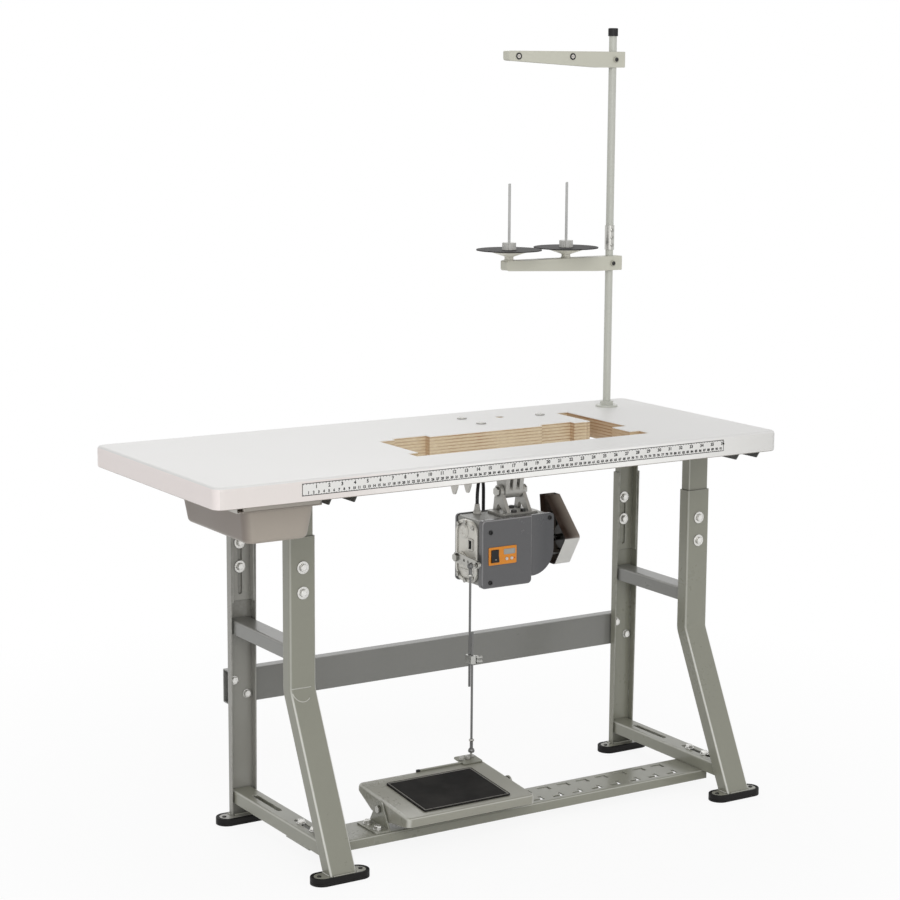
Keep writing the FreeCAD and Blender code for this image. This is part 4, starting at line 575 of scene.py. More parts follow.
tableLook = {
    "white": tone(237, 236, 234), "edgeLitWhite": tone(253, 252, 249), "edgeShade": tone(226, 225, 222),
    "edgeWarm": tone(236, 229, 225), "endWarm": tone(250, 241, 238),
    "shadeFrom": 0.45, "warmFrom": 0.2, "warmFull": 0.6,
    "plyPale": tone(232, 218, 190), "plyFibre": tone(206, 184, 148), "plyDark": tone(150, 96, 60),
    "darkShare": 0.8, "wallBrown": tone(178, 132, 92), "wallShare": 0.4, "under": tone(156, 148, 138),
    "underFibre": tone(134, 126, 116), "layer": 6.2 * mm, "wobble": 0.8 * mm, "wobbleScale": 30.0,
    "patchScale": 14.0, "fibreScale": 120.0, "fibreStretch": 14.0, "skin": 1.2 * mm, "edgeBorder": 30 * mm,
    "ledgeDepth": 4 * mm,
}


# white laminate, plywood where the board is cut, brown backing sheet below; painted light on the upright
# edges
def tableColour(tree, coordinates):
    s = tableLook
    low, high = nodeBox("table_top")
    half = (high - low) / 2
    middle = (high + low) / 2
    spot = xyz(tree, coordinates)
    normal = facing(tree)
    depth = minus(tree, high.z, spot["Z"])
    upright = below(tree, calc(tree, "ABSOLUTE", normal["Z"]), 0.5)
    inX = below(tree, awayFrom(tree, spot["X"], middle.x), half.x - s["edgeBorder"])
    inY = below(tree, awayFrom(tree, spot["Y"], middle.y), half.y - s["edgeBorder"])
    wobble = times(tree, minus(tree, noise(tree, coordinates, s["wobbleScale"]), 0.5), s["wobble"])
    stripes = calc(tree, "FRACT", calc(tree, "DIVIDE", plus(tree, depth, wobble), s["layer"]))
    patchy = ramp(tree, noise(tree, coordinates, s["patchScale"]), 0.35, 0.65, 0.15, 1.0)
    dark = times(tree, ramp(tree, awayFrom(tree, stripes, 0.5), 0.1, 0.2, 1.0, 0.0), patchy)
    stretch = tree.nodes.new("ShaderNodeMapping")
    stretch.inputs["Scale"].default_value = (1.0, 1.0, s["fibreStretch"])
    tree.links.new(coordinates, stretch.inputs["Vector"])
    fibre = ramp(tree, noise(tree, stretch.outputs["Vector"], s["fibreScale"], 4.0), 0.3, 0.7, 0.0, 1.0)
    pale = mixColour(tree, fibre, s["plyPale"], s["plyFibre"])
    rightWall = ramp(tree, normal["X"], -0.9, -0.5, s["wallShare"], 0.0)
    pale = mixColour(tree, rightWall, pale, s["wallBrown"])
    ply = mixColour(tree, times(tree, dark, s["darkShare"]), pale, s["plyDark"])
    # painted light on the upright edges: whiter at the front, painted shade towards the right end, a warmer
    # tint towards the left end
    shaded = ramp(tree, spot["X"], middle.x + half.x * s["shadeFrom"], high.x, 0.0, 1.0)
    edge = mixColour(tree, shaded, s["edgeLitWhite"], s["edgeShade"])
    warm = mixColour(tree, below(tree, normal["X"], -0.5), s["edgeWarm"], s["endWarm"])
    warmPart = ramp(tree, spot["X"], middle.x - half.x * s["warmFull"], middle.x - half.x * s["warmFrom"],
                    1.0, 0.0)
    edge = mixColour(tree, warmPart, edge, warm)
    cut = times(tree, upright, inX, inY, above(tree, depth, s["skin"]))
    colour = mixColour(tree, cut, mixColour(tree, upright, s["white"], edge), ply)
    ledge = times(tree, above(tree, normal["Z"], 0.5), above(tree, depth, s["ledgeDepth"]))
    colour = mixColour(tree, ledge, colour, pale)
    backing = mixColour(tree, fibre, s["under"], s["underFibre"])
    return mixColour(tree, below(tree, normal["Z"], -0.5), colour, backing)


# the brown and its paler tone are a painted reflection of the table above, the inside tone is painted shade,
# the end face is a darker grey
guardLook = {"brownReflection": tone(46, 30, 22), "paleSheen": tone(182, 172, 161), "paleSheenShare": 0.6, "paleSheenFrom": 0.65,
             "streak": 0.06, "streakScale": 45.0, "pale": tone(228, 227, 223), "end": tone(150, 140, 131),
             "inside": tone(28, 27, 26), "cut": tone(206, 202, 196), "skin": 1 * mm, "backDepth": 30 * mm}


# brown painted reflection above the nose, pale below, light cut edges, painted shade in black on the pulley's
# side
def guardColour(tree, coordinates):
    s = guardLook
    low, high = nodeBox("belt_guard")
    normal = facing(tree)
    spot = xyz(tree, coordinates)
    # painted reflection: the brown grows paler towards the right end, with streaks
    streak = ramp(tree, noise(tree, coordinates, s["streakScale"], 4.0), 0.35, 0.65, 0.0, s["streak"])
    paleSheenFrom = low.x * (1 - s["paleSheenFrom"]) + high.x * s["paleSheenFrom"]
    paleSheen = calc(tree, "ADD", ramp(tree, spot["X"], paleSheenFrom, high.x, 0.0, s["paleSheenShare"]), streak, True)
    brownReflection = mixColour(tree, paleSheen, s["brownReflection"], s["paleSheen"])
    outer = mixColour(tree, ramp(tree, normal["Z"], -0.2, 0.1, 0.0, 1.0), s["pale"], brownReflection)
    outer = mixColour(tree, above(tree, normal["X"], 0.5), outer, s["end"])
    # painted shade: faces towards the pulley and the back are black
    inward = times(tree, below(tree, normal["X"], -0.3), above(tree, spot["X"], low.x + s["skin"]))
    facesBack = times(tree, above(tree, normal["Y"], 0.3), below(tree, spot["Y"], high.y - s["backDepth"]))
    colour = mixColour(tree, most(tree, inward, facesBack), outer, s["inside"])
    cutEdge = times(tree, below(tree, normal["X"], -0.7), below(tree, spot["X"], low.x + s["skin"]))
    return mixColour(tree, cutEdge, colour, s["cut"])


coverLook = {"slab": tone(92, 92, 94), "roundSide": tone(74, 75, 78), "shadeFrom": 56 * mm,
             "shadeFull": 20 * mm}


def coverColour(tree, coordinates):  # painted shade: the round side of the cover is darker than its raised slab
    s = coverLook
    right = nodeBox("motor_front_cover")[1].x
    side = ramp(tree, xyz(tree, coordinates)["X"], right - s["shadeFrom"], right - s["shadeFull"], 0.0, 1.0)
    return mixColour(tree, side, s["slab"], s["roundSide"])


studTones = {"bolt": tone(190, 189, 184), "boltRise": 0.2 * mm}


def studColour(tree, coordinates):  # painted plate, plated bolts above it
    s = studTones
    middle, up = topPlane("pedal_mat")
    spot = xyz(tree, coordinates)
    rise = plus(tree, times(tree, spot["Y"], up.y), times(tree, spot["Z"], up.z))
    bolts = above(tree, rise, middle.dot(up) + s["boltRise"])
    return mixColour(tree, bolts, finishes["framePaint"]["colour"], s["bolt"])


drawerTones = {"longSideShade": tone(141, 131, 123)}


def drawerColour(tree, coordinates):  # painted shade: the long side is darker than the front
    side = ramp(tree, facing(tree)["X"], -0.9, -0.4, 1.0, 0.0)
    return mixColour(tree, side, finishes["drawerPlastic"]["colour"], drawerTones["longSideShade"])


legLook = {"bend": 322 * mm, "below": 20 * mm, "above": 10 * mm, "lit": tone(230, 230, 223), "lowShare": 0.85,
           "highShare": 0.35}


def legColour(tree, coordinates):  # painted highlight on the folds, stronger below the bend
    s = legLook
    height = xyz(tree, coordinates)["Z"]
    share = ramp(tree, height, s["bend"] - s["below"], s["bend"] + s["above"], s["lowShare"], s["highShare"])
    fold = times(tree, putGroup(tree, foldGroup).outputs["Mask"], share)
    return mixColour(tree, fold, finishes["framePaint"]["colour"], s["lit"])


pinTones = {"pin": tone(190, 190, 188), "hub": tone(214, 213, 208), "hubHigh": 17.2 * mm}


def pinColour(tree, coordinates):  # milky hub below, grey pin above
    s = pinTones
    hub = below(tree, xyz(tree, coordinates)["Z"], nodeBox("spool_pins")[0].z + s["hubHigh"])
    return mixColour(tree, hub, s["pin"], s["hub"])


finishes = {
    "framePaint": dict(colour=tone(144, 144, 131), spread=0.035, scale=5.0, rough=0.3, coat=0.3, specular=0.4,
                       round=2.0 * mm, edgeHighlight=tone(226, 226, 219), edgeAmount=0.8, dust=0.04, fold=0.55,
                       crevice=0.55, reach=5 * mm),
    # painted shade: a darker, cooler copy of the frame paint for the crossbeam and braces under the table
    "beamPaint": dict(colour=tone(136, 136, 132), spread=0.035, scale=5.0, rough=0.32, coat=0.3, specular=0.4,
                      round=1.8 * mm, edgeHighlight=tone(200, 200, 196), edgeAmount=0.7, dust=0.04, fold=0.4,
                      crevice=0.55, reach=5 * mm),
    "zincPlate": dict(colour=tone(172, 171, 166), spread=0.1, rough=0.26, metal=1.0, scale=60.0,
                      round=0.4 * mm, crevice=0.9, reach=3.5 * mm, edgeHighlight=tone(236, 236, 232),
                      edgeAmount=0.6),
    "boltZinc": dict(colour=tone(228, 227, 223), spread=0.08, rough=0.26, metal=0.85, scale=60.0,
                     round=0.4 * mm, dirt=tone(30, 30, 29), crevice=0.9, reach=2.6 * mm,
                     edgeHighlight=tone(244, 244, 241), edgeAmount=0.6),
    "rodSteel": dict(colour=tone(118, 118, 117), spread=0.1, rough=0.32, metal=0.8, scale=60.0,
                     round=0.4 * mm, crevice=0.7, reach=3 * mm),
    "clampSteel": dict(colour=tone(186, 186, 182), spread=0.1, rough=0.28, metal=0.9, scale=60.0,
                       round=0.5 * mm, dirt=tone(26, 26, 25), crevice=1.0, reach=3 * mm,
                       edgeHighlight=tone(240, 240, 236), edgeAmount=0.5),
    "drawerPlastic": dict(colour=tone(172, 163, 152), spread=0.03, rough=0.4, grain=1400.0, grainStrength=0.1,
                          round=1.5 * mm, edgeHighlight=tone(205, 199, 190), edgeAmount=0.4, crevice=0.6,
                          reach=6 * mm),
    "drawerRim": dict(colour=tone(186, 180, 171), spread=0.03, rough=0.4, round=1.0 * mm,
                      edgeHighlight=tone(214, 209, 201), edgeAmount=0.5),
    # the table supports are dark grey
    "supportPaint": dict(colour=tone(80, 80, 77), spread=0.05, scale=6.0, rough=0.4, round=1.0 * mm,
                         crevice=0.5, reach=6 * mm),
    "castAluminium": dict(colour=tone(182, 181, 176), spread=0.1, rough=0.36, metal=0.35, grain=700.0,
                          grainStrength=0.25, round=1.0 * mm, edgeHighlight=tone(232, 231, 228), edgeAmount=0.6,
                          crevice=0.85, reach=8 * mm),
    "motorCover": dict(colour=tone(90, 90, 92), spread=0.03, rough=0.24, round=0.9 * mm, coat=0.3, fold=0.7,
                       foldKind="Rim", edgeHighlight=tone(186, 186, 188), edgeAmount=0.25, crevice=0.6,
                       reach=5 * mm),
    "housingCast": dict(colour=tone(150, 150, 146), spread=0.12, rough=0.4, metal=0.3, grain=600.0,
                        grainStrength=0.25, round=1.0 * mm, edgeHighlight=tone(214, 213, 209), edgeAmount=0.6,
                        crevice=0.9, reach=9 * mm),
    "endCast": dict(colour=tone(238, 236, 228), spread=0.08, rough=0.36, metal=0.1, grain=700.0,
                    grainStrength=0.2, round=1.0 * mm, edgeHighlight=tone(244, 243, 240), edgeAmount=0.5,
                    dirt=tone(30, 29, 27), crevice=0.9, reach=6 * mm),
    "panelOrange": dict(colour=tone(238, 148, 34), spread=0.02, rough=0.38, round=0.4 * mm, crevice=0.5,
                        reach=2 * mm),
    "blackPlastic": dict(colour=tone(30, 30, 31), spread=0.05, rough=0.4, grain=1200.0, grainStrength=0.1,
                         round=0.6 * mm, specular=0.35, edgeHighlight=tone(74, 74, 76), edgeAmount=0.4),
    "buttonPlastic": dict(colour=tone(226, 222, 216), spread=0.02, rough=0.4, round=0.4 * mm),
    "brightSteel": dict(colour=tone(188, 187, 182), spread=0.04, rough=0.24, metal=1.0, scale=40.0,
                        round=0.5 * mm, crevice=0.8, reach=3 * mm),
    "darkSteel": dict(colour=tone(58, 57, 56), spread=0.08, rough=0.4, metal=0.6, scale=40.0, round=0.5 * mm),
    "glandPlastic": dict(colour=tone(204, 203, 198), spread=0.03, rough=0.45, round=0.6 * mm, crevice=0.5,
                         reach=2 * mm),
    "cableRubber": dict(colour=tone(30, 30, 31), spread=0.06, rough=0.5, grain=1500.0, grainStrength=0.1,
                        round=0.3 * mm, specular=0.3),
    "footRubber": dict(colour=tone(24, 23, 22), spread=0.08, rough=0.5, grain=900.0, grainStrength=0.15,
                       round=1.2 * mm, specular=0.2, edgeHighlight=tone(84, 82, 79), edgeAmount=0.4),
    "matRubber": dict(colour=tone(28, 27, 26), spread=0.22, rough=0.72, scale=60.0, grain=420.0,
                      grainStrength=0.5, round=0.6 * mm, specular=0.1, edgeHighlight=tone(170, 168, 162),
                      edgeAmount=0.7, dust=0.03),
    "standPlastic": dict(colour=tone(206, 205, 191), spread=0.03, rough=0.4, grain=1200.0, grainStrength=0.06,
                         round=1.0 * mm, edgeHighlight=tone(236, 235, 228), edgeAmount=0.4, crevice=0.6,
                         reach=5 * mm),
    "cupPlastic": dict(colour=tone(226, 224, 212), spread=0.02, rough=0.38, grain=1200.0, grainStrength=0.05,
                       round=0.8 * mm, crevice=0.5, reach=6 * mm),
    "mastPaint": dict(colour=tone(198, 199, 190), spread=0.03, rough=0.3, round=0.5 * mm, coat=0.3),
    "runnerSteel": dict(colour=tone(196, 194, 188), spread=0.08, rough=0.4, metal=0.6, round=0.6 * mm,
                        crevice=0.6, reach=6 * mm),
    "rulerStrip": dict(colour=tone(236, 235, 232), spread=0.015, rough=0.42, round=0.1 * mm),
    "printInk": dict(colour=tone(20, 19, 19), spread=0.1, rough=0.6, round=0.05 * mm, specular=0.15),
    "displayGlass": dict(colour=tone(166, 168, 163), spread=0.05, rough=0.2, round=0.2 * mm, coat=0.5),
    "redPlastic": dict(colour=tone(196, 58, 44), spread=0.03, rough=0.35, round=0.3 * mm),
    "discPlastic": dict(colour=tone(38, 36, 35), spread=0.08, rough=0.55, grain=1300.0, grainStrength=0.08,
                        round=0.6 * mm, specular=0.12, edgeHighlight=tone(120, 118, 114), edgeAmount=0.5),
    "whiteInk": dict(colour=tone(225, 225, 222), spread=0.03, rough=0.5, round=0.05 * mm),
}
# lighter copies of the frame paint: painted light on the left rear leg, the left rear post and the pedal, and
# a painted highlight on the leg crease
paintTones = {"rearPaint": tone(154, 153, 146), "pedalPaint": tone(155, 154, 142),
              "creasePaint": tone(190, 189, 180), "postPaint": tone(174, 173, 166)}
for name, colour in paintTones.items():
    finishes[name] = dict(finishes["framePaint"], colour=colour)
materials = {name: surface(name, look) for name, look in finishes.items()}
boardLook = dict(spread=0.012, rough=0.4, grain=1800.0, grainStrength=0.03, round=0.8 * mm)
guardFinish = dict(spread=0.03, rough=0.38, specular=0.2, grain=1200.0, grainStrength=0.08, round=1.0 * mm)
# leg paint: the frame paint, with the painted fold highlight of legColour in place of the fold amount
legPaint = {key: value for key, value in finishes["framePaint"].items() if key != "fold"}
studLook = dict(spread=0.06, rough=0.32, metal=0.25, round=0.5 * mm, crevice=0.9, reach=4 * mm)
pinLook = dict(spread=0.04, rough=0.3, round=0.4 * mm)
for name, look, colourFrom in (
        ("tableBoard", boardLook, tableColour), ("guardPlastic", guardFinish, guardColour),
        ("frontCover", finishes["motorCover"], coverColour), ("legPaint", legPaint, legColour),
        ("drawerShell", finishes["drawerPlastic"], drawerColour), ("studSteel", studLook, studColour),
        ("pinPlastic", pinLook, pinColour)):
    materials[name] = surface(name, look, colourFrom)
slotFinish = {
    "frame_paint": "framePaint", "zinc": "zincPlate", "table_laminate": "tableBoard",
    "ruler_print": "rulerStrip", "runner_steel": "runnerSteel", "drawer_plastic": "drawerPlastic",
    "motor_casting": "castAluminium", "motor_cover": "motorCover", "panel_orange": "panelOrange",
    "black_plastic": "blackPlastic", "button_plastic": "buttonPlastic", "bright_steel": "brightSteel",
    "guard_plastic": "guardPlastic", "gland_plastic": "glandPlastic", "cable_rubber": "cableRubber",
    "foot_rubber": "footRubber", "mat_rubber": "matRubber", "stand_plastic": "standPlastic",
    "clear_plastic": "pinPlastic",
}
nodeFinish = {
    "motor_pulley": "darkSteel", "upper_rod": "rodSteel", "lower_rod": "rodSteel",
    "stand_rod_lower": "mastPaint", "stand_rod_upper": "mastPaint", "stand_base": "mastPaint",
    "rear_crossbeam": "beamPaint", "left_upper_brace": "beamPaint", "right_upper_brace": "beamPaint",
    "spool_discs": "discPlastic", "spool_rests": "cupPlastic", "pedal_stud": "studSteel",
    "rod_clamp": "clampSteel", "motor_end_cover": "endCast", "motor_housing": "housingCast",
    "left_table_support": "supportPaint", "right_table_support": "supportPaint",
    "motor_front_cover": "frontCover", "left_rear_leg": "rearPaint", "left_rear_post": "postPaint",
    "drawer": "drawerShell", "left_front_leg": "legPaint", "right_front_leg": "legPaint",
    "pedal": "pedalPaint",
}
for name, node in nodes.items():
    node.data.materials.clear()
    node.data.materials.append(materials[nodeFinish.get(name, slotFinish[slotOf[name]])])
print("finishes made:", len(materials))


def settle(piece, body, finish, standsFor=()):  # finish, material slot and body of a new piece
    piece.data.materials.clear()
    piece.data.materials.append(materials[finish])
    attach(piece, body)
    if standsFor:
        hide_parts(*standsFor)
    return piece


# numbered copies that ride with the table
def setCopies(pattern, name, spots, direction, finish, turn=0.0):
    for i, spot in enumerate(spots):
        piece = copyTo(pattern, "%s%d" % (name, i + 1), standing(spot, direction, turn * i))
        settle(piece, "table", finish)


# Frame bolts: hex head, washer, shank and nut, modelled once for each grip

boltLook = {"flats": 13 * mm, "head": 5.5 * mm, "washer": 1.6 * mm, "nut": 6.5 * mm, "shank": 4 * mm,
            "chamfer": 0.7 * mm, "rim": 1.4 * mm, "dish": 0.35 * mm, "washerEdge": 0.5 * mm,
            "washerRim": 1.1 * mm, "washerDish": 0.3 * mm, "tipShort": 0.4 * mm, "tipEdge": 0.6 * mm,
            "clear": 0.15 * mm, "turn": 0.4}


def hexPart(name, flats, low, height, chamfer, crown):
    part = startRound(name, (0, 0, low + height / 2), flats / math.sqrt(3), height, 6)
    ends = {"top": (low + height,), "bottom": (low,), "both": (low, low + height)}[crown]
    bevelEdges(part, lambda a, b: any(max(abs(a.z - end), abs(b.z - end)) < near for end in ends), chamfer, 2)
    return part


def makeHexHead(name, flats, height, chamfer, rim, dish):
    head = hexPart(name, flats, 0, height, chamfer, "top")
    insetAndPush(head, looksUp, rim, -dish)
    smooth(head)
    return head


def makeBolt(name, length, washerRadius):
    s = boltLook
    head = hexPart("boltHead", s["flats"], s["washer"], s["head"], s["chamfer"], "top")
    insetAndPush(head, looksUp, s["rim"], -s["dish"])
    washer = startRound("boltWasher", (0, 0, s["washer"] / 2), washerRadius, s["washer"], 40)
    bevelEdges(washer, lambda a, b: min(a.z, b.z) > s["washer"] - near, s["washerEdge"], 2)
    insetAndPush(washer, looksUp, s["washerRim"], -s["washerDish"])
    grip = length - s["head"] - s["washer"] - s["nut"]
    tip = -grip - s["nut"]
    nut = hexPart("boltNut", s["flats"], tip, s["nut"], s["chamfer"], "bottom")
    full = grip + s["washer"] + s["nut"]
    middle = (0, 0, s["washer"] - full / 2 - s["tipShort"])
    shank = startRound("boltShank", middle, s["shank"], full - s["tipShort"], 20)
    bevelEdges(shank, lambda a, b: max(a.z, b.z) < tip + 1 * mm, s["tipEdge"], 1)
    bolt = joinPieces(name, [head, washer, nut, shank])
    smooth(bolt)
    return bolt


def buildFrameBolts():
    s = boltLook
    depth = s["head"] + s["washer"] - s["clear"]
    kinds = {}
    count = 0
    for low, high in solidBoxes("frame_bolts"):
        size = high - low
        middle = (low + high) / 2
        upright = size.z > size.y and abs(size.x - size.y) < 2 * mm
        length, radius = size.z if upright else size.y, size.x / 2
        key = (round(length, 4), round(radius, 4))
        if key not in kinds:
            kinds[key] = makeBolt("boltPattern", length, radius)
        if upright:
            seat, outward = (middle.x, middle.y, high.z - depth), (0, 0, 1)
        else:
            seat, outward = (middle.x, low.y + depth, middle.z), (0, -1, 0)
        count += 1
        bolt = copyTo(kinds[key], "frameBolt%02d" % count, standing(seat, outward, s["turn"] * count))
        settle(bolt, "stand", "boltZinc", ("frame_bolts",) if count == 1 else ())
    for pattern in kinds.values():
        discard(pattern)
    return count


print("frame bolts:", buildFrameBolts())


# Rubber feet with a raised rim, a groove round the side and the screws of the base plate

footLook = {"rim": 6.4 * mm, "rimEdge": 1.4 * mm, "recess": 4.0 * mm, "groove": 0.9 * mm,
            "grooveLow": 4.2 * mm, "grooveHigh": 6.0 * mm, "screwSpread": 43 * mm, "screwRadius": 4.2 * mm,
            "screwHeight": 2.0 * mm, "slotWide": 0.9 * mm, "slotDeep": 1.4 * mm, "turn": 0.7,
            "plate": 3.5 * mm}


def makeFoot(name, low, high):
    s = footLook
    size = high - low
    middle = (low + high) / 2
    grooveLow, grooveHigh = low.z + s["grooveLow"], low.z + s["grooveHigh"]
    pad = startRound(name, middle, size.y / 2, size.z, 64)
    reach = (size.x - size.y) / 2
    shift(pad, lambda p: p.x > middle.x + near, (reach, 0, 0))
    shift(pad, lambda p: p.x < middle.x - near, (-reach, 0, 0))
    for level in (grooveLow, grooveHigh):
        pickFaces(pad, lambda c, n: True)
        bpy.ops.mesh.bisect(plane_co=(0, 0, level), plane_no=(0, 0, 1))
        backToObject()
    pickFaces(pad, lambda c, n: abs(n.z) < 0.3 and grooveLow < c.z < grooveHigh)
    push(-s["groove"])
    backToObject()
    pickFaces(pad, lambda c, n: n.z > 0.9 and c.z > high.z - near)
    bpy.ops.mesh.inset(thickness=s["rim"])
    lift(-s["recess"])
    backToObject()
    bevelEdges(pad, lambda a, b: min(a.z, b.z) > high.z - near, s["rimEdge"], 3)
    smooth(pad)
    return pad


def makePlateScrew():
    s = footLook
    r, h = s["screwRadius"], s["screwHeight"]
    screw = lathe("plateScrew", [(0, 0), (r, 0), (r, h * 0.4), (r * 0.8, h * 0.8), (r * 0.45, h), (0, h)], 28)
    slot = startBox("screwSlot", (0, 0, h), (r * 2.2, s["slotWide"], s["slotDeep"]))
    makeActive(screw)
    cut = screw.modifiers.new("slot", "BOOLEAN")
    cut.object = slot
    cut.operation = "DIFFERENCE"
    bpy.ops.object.modifier_apply(modifier="slot")
    discard(slot)
    smooth(screw, 40)
    return screw


plateScrew = makePlateScrew()


def buildFeet():
    s = footLook
    boxes = solidBoxes("rubber_feet")
    for i, (low, high) in enumerate(boxes):
        pad = makeFoot("rubberFoot%d" % (i + 1), low, high)
        settle(pad, "stand", "footRubber", ("rubber_feet",) if i == 0 else ())
        middle = (low + high) / 2
        top = high.z - s["recess"] + s["plate"]
        for side in (-1, 1):
            spot = (middle.x + side * s["screwSpread"], middle.y, top)
            turned = standing(spot, (0, 0, 1), s["turn"] * i + side)
            screw = copyTo(plateScrew, "footScrew%d%s" % (i + 1, "LR"[side > 0]), turned)
            settle(screw, "stand", "darkSteel")
    return len(boxes)


print("rubber feet:", buildFeet())


# Pedal mat: rounded corners and a raised bead along its border, with a painted highlight along the bead

matLook = {"thick": 3 * mm, "corner": 5 * mm, "edge": 3.0 * mm, "bead": 1.6 * mm, "sink": 0.9 * mm,
           "riseShare": 0.7, "topEdge": 0.4 * mm, "paleSpread": 0.4 * mm, "paleShare": 0.8,
           "pale": tone(170, 168, 162)}


def matColour(tree, coordinates):  # black, with a painted highlight as a pale line along the bead
    s = matLook
    low, high = nodeBox("pedal_mat")
    up = topPlane("pedal_mat")[1]
    backward = Vector((0, up.z, -up.y))
    ends = [v.co.dot(backward) for v in nodes["pedal_mat"].data.vertices]
    spot = xyz(tree, coordinates)
    along = plus(tree, times(tree, spot["Y"], backward.y), times(tree, spot["Z"], backward.z))
    fromSide = least(tree, minus(tree, spot["X"], low.x), minus(tree, high.x, spot["X"]))
    fromEnd = least(tree, minus(tree, along, min(ends)), minus(tree, max(ends), along))
    inside = least(tree, fromSide, fromEnd)
    past = above(tree, inside, s["edge"] - s["paleSpread"])
    band = times(tree, past, below(tree, inside, s["edge"] + s["bead"] + s["paleSpread"]), s["paleShare"])
    return mixColour(tree, band, finishes["matRubber"]["colour"], s["pale"])


materials["matTop"] = surface("matTop", finishes["matRubber"], matColour)


def buildMat():
    s = matLook
    middle, up = topPlane("pedal_mat")
    low, high = nodeBox("pedal_mat")
    tilt = math.atan2(-up.y, up.z)
    width = high.x - low.x
    length = (high.y - low.y - s["thick"] * abs(math.sin(tilt))) / math.cos(tilt)
    mat = startBox("pedalMat", (0, 0, -s["thick"] / 2), (width, length, s["thick"]))
    bevelEdges(mat, lambda a, b: abs(a.z - b.z) > s["thick"] / 2, s["corner"], 6)
    insetAndPush(mat, looksUp, s["edge"], -s["sink"])
    pickFaces(mat, lambda c, n: n.z > 0.9 and c.z < -s["sink"] / 2)
    bpy.ops.mesh.inset(thickness=s["bead"])
    lift(s["sink"] * s["riseShare"])
    backToObject()
    bevelEdges(mat, lambda a, b: min(a.z, b.z) > -near, s["topEdge"], 2)
    smooth(mat, 30)
    place(mat, Matrix.Translation(middle) @ Matrix.Rotation(tilt, 4, "X"))
    settle(mat, "pedal", "matTop", ("pedal_mat",))


buildMat()
print("pedal mat laid")


# Measuring strip: thin outline, inch figures above and centimetre figures below

rulerLook = {"inch": 25.4 * mm, "inches": 36, "centimetre": 10 * mm, "centimetres": 91, "inchSize": 8.2 * mm,
             "cmSize": 6.2 * mm, "weight": 0.36 * mm, "inchRise": 12.4 * mm, "cmRise": 3.4 * mm,
             "line": 1.2 * mm, "proud": 0.05 * mm, "tick": 2.6 * mm, "tickWide": 0.9 * mm,
             "tickEdge": 0.02 * mm, "cmTick": 0.7, "inchTickDrop": 1.6 * mm, "cmTickRise": 1.4 * mm}


def makeFigure(text, size, x, z, front):
    deselectAll()
    bpy.ops.object.text_add(location=(0, 0, 0))
    figure = bpy.context.active_object
    figure.data.body = text
    figure.data.size = size
    figure.data.align_x = "CENTER"
    figure.data.resolution_u = 2
    figure.data.extrude = rulerLook["proud"]
    figure.data.offset = rulerLook["weight"]
    bpy.ops.object.convert(target="MESH")
    figure = bpy.context.active_object
    return place(figure, Matrix.Translation((x, front, z)) @ Matrix.Rotation(math.pi / 2, 4, "X"))


def makeTicks(name, x, z, front, pitch, count, height):
    s = rulerLook
    tick = startBox(name, (x, front, z), (s["tickWide"], 2 * s["proud"], height))
    bevelEdges(tick, lambda a, b: max(a.y, b.y) < front, s["tickEdge"], 1)
    makeActive(tick)
    row = tick.modifiers.new("row", "ARRAY")
    row.count = count
    row.use_relative_offset = False
    row.use_constant_offset = True
    row.constant_offset_displace = (pitch, 0, 0)
    bpy.ops.object.modifier_apply(modifier="row")
    return tick


def buildRuler():
    s = rulerLook
    low, high = nodeBox("front_ruler")
    front = low.y
    middle = (low + high) / 2
    start = middle.x - s["inch"] * s["inches"] / 2
    figures = []
    for count, step, size, rise in ((s["inches"], s["inch"], s["inchSize"], s["inchRise"]),
                                    (s["centimetres"], s["centimetre"], s["cmSize"], s["cmRise"])):
        figures += [makeFigure(str(i), size, start + i * step, low.z + rise, front)
                    for i in range(1, count + 1)]
    figures.append(makeTicks("inchTicks", start, high.z - s["inchTickDrop"], front, s["inch"] / 4,
                             4 * s["inches"] + 1, s["tick"]))
    figures.append(makeTicks("cmTicks", start, low.z + s["cmTickRise"], front, s["centimetre"] / 2,
                             2 * s["centimetres"] + 1, s["tick"] * s["cmTick"]))
    settle(joinPieces("rulerFigures", figures), "table", "printInk")
    line = startBox("rulerLine", (middle.x, front, middle.z),
                    (high.x - low.x, 2 * s["proud"], high.z - low.z))
    pickFaces(line, lambda c, n: abs(n.y) > 0.9)
    bpy.ops.mesh.inset(thickness=s["line"])
    bpy.ops.mesh.bridge_edge_loops()
    backToObject()
    settle(line, "table", "printInk")
    return len(figures)


print("ruler figures:", buildRuler())


# Motor: cover screws, cradle bolts, display, rocker marks, end bell, fins and vent

screwLook = {"radius": 4.6 * mm, "height": 2.2 * mm, "leftIn": 20 * mm, "topDown": 25 * mm, "footUp": 12 * mm,
             "cornerIn": 10 * mm, "cornerBack": 5 * mm, "rearIn": 14 * mm}


def makeSocketScrew(name, radius, height):
    screw = lathe(name, [(0, 0), (radius, 0), (radius, height * 0.7), (radius * 0.85, height),
                         (radius * 0.5, height), (radius * 0.5, height * 0.2), (0, height * 0.2)], 24)
    smooth(screw)
    return screw


def buildCoverScrews():
    s = screwLook
    pattern = makeSocketScrew("socketPattern", s["radius"], s["height"])
    low, high = nodeBox("motor_front_cover")
    left = low.x + s["leftIn"]
    spots = [(left, low.y, high.z - s["topDown"]), (left, low.y, low.z + s["footUp"]),
             (high.x - s["cornerIn"], low.y + s["cornerBack"], high.z - s["cornerIn"])]
    setCopies(pattern, "coverScrew", spots, (0, -1, 0), "blackPlastic")
    low, high = nodeBox("motor_rear_cover")
    a = s["rearIn"]
    spots = [(low.x + a, high.y, low.z + a), (low.x + a, high.y, high.z - a),
             (high.x - a, high.y, high.z - a)]
    setCopies(pattern, "rearScrew", spots, (0, 1, 0), "blackPlastic")
    discard(pattern)


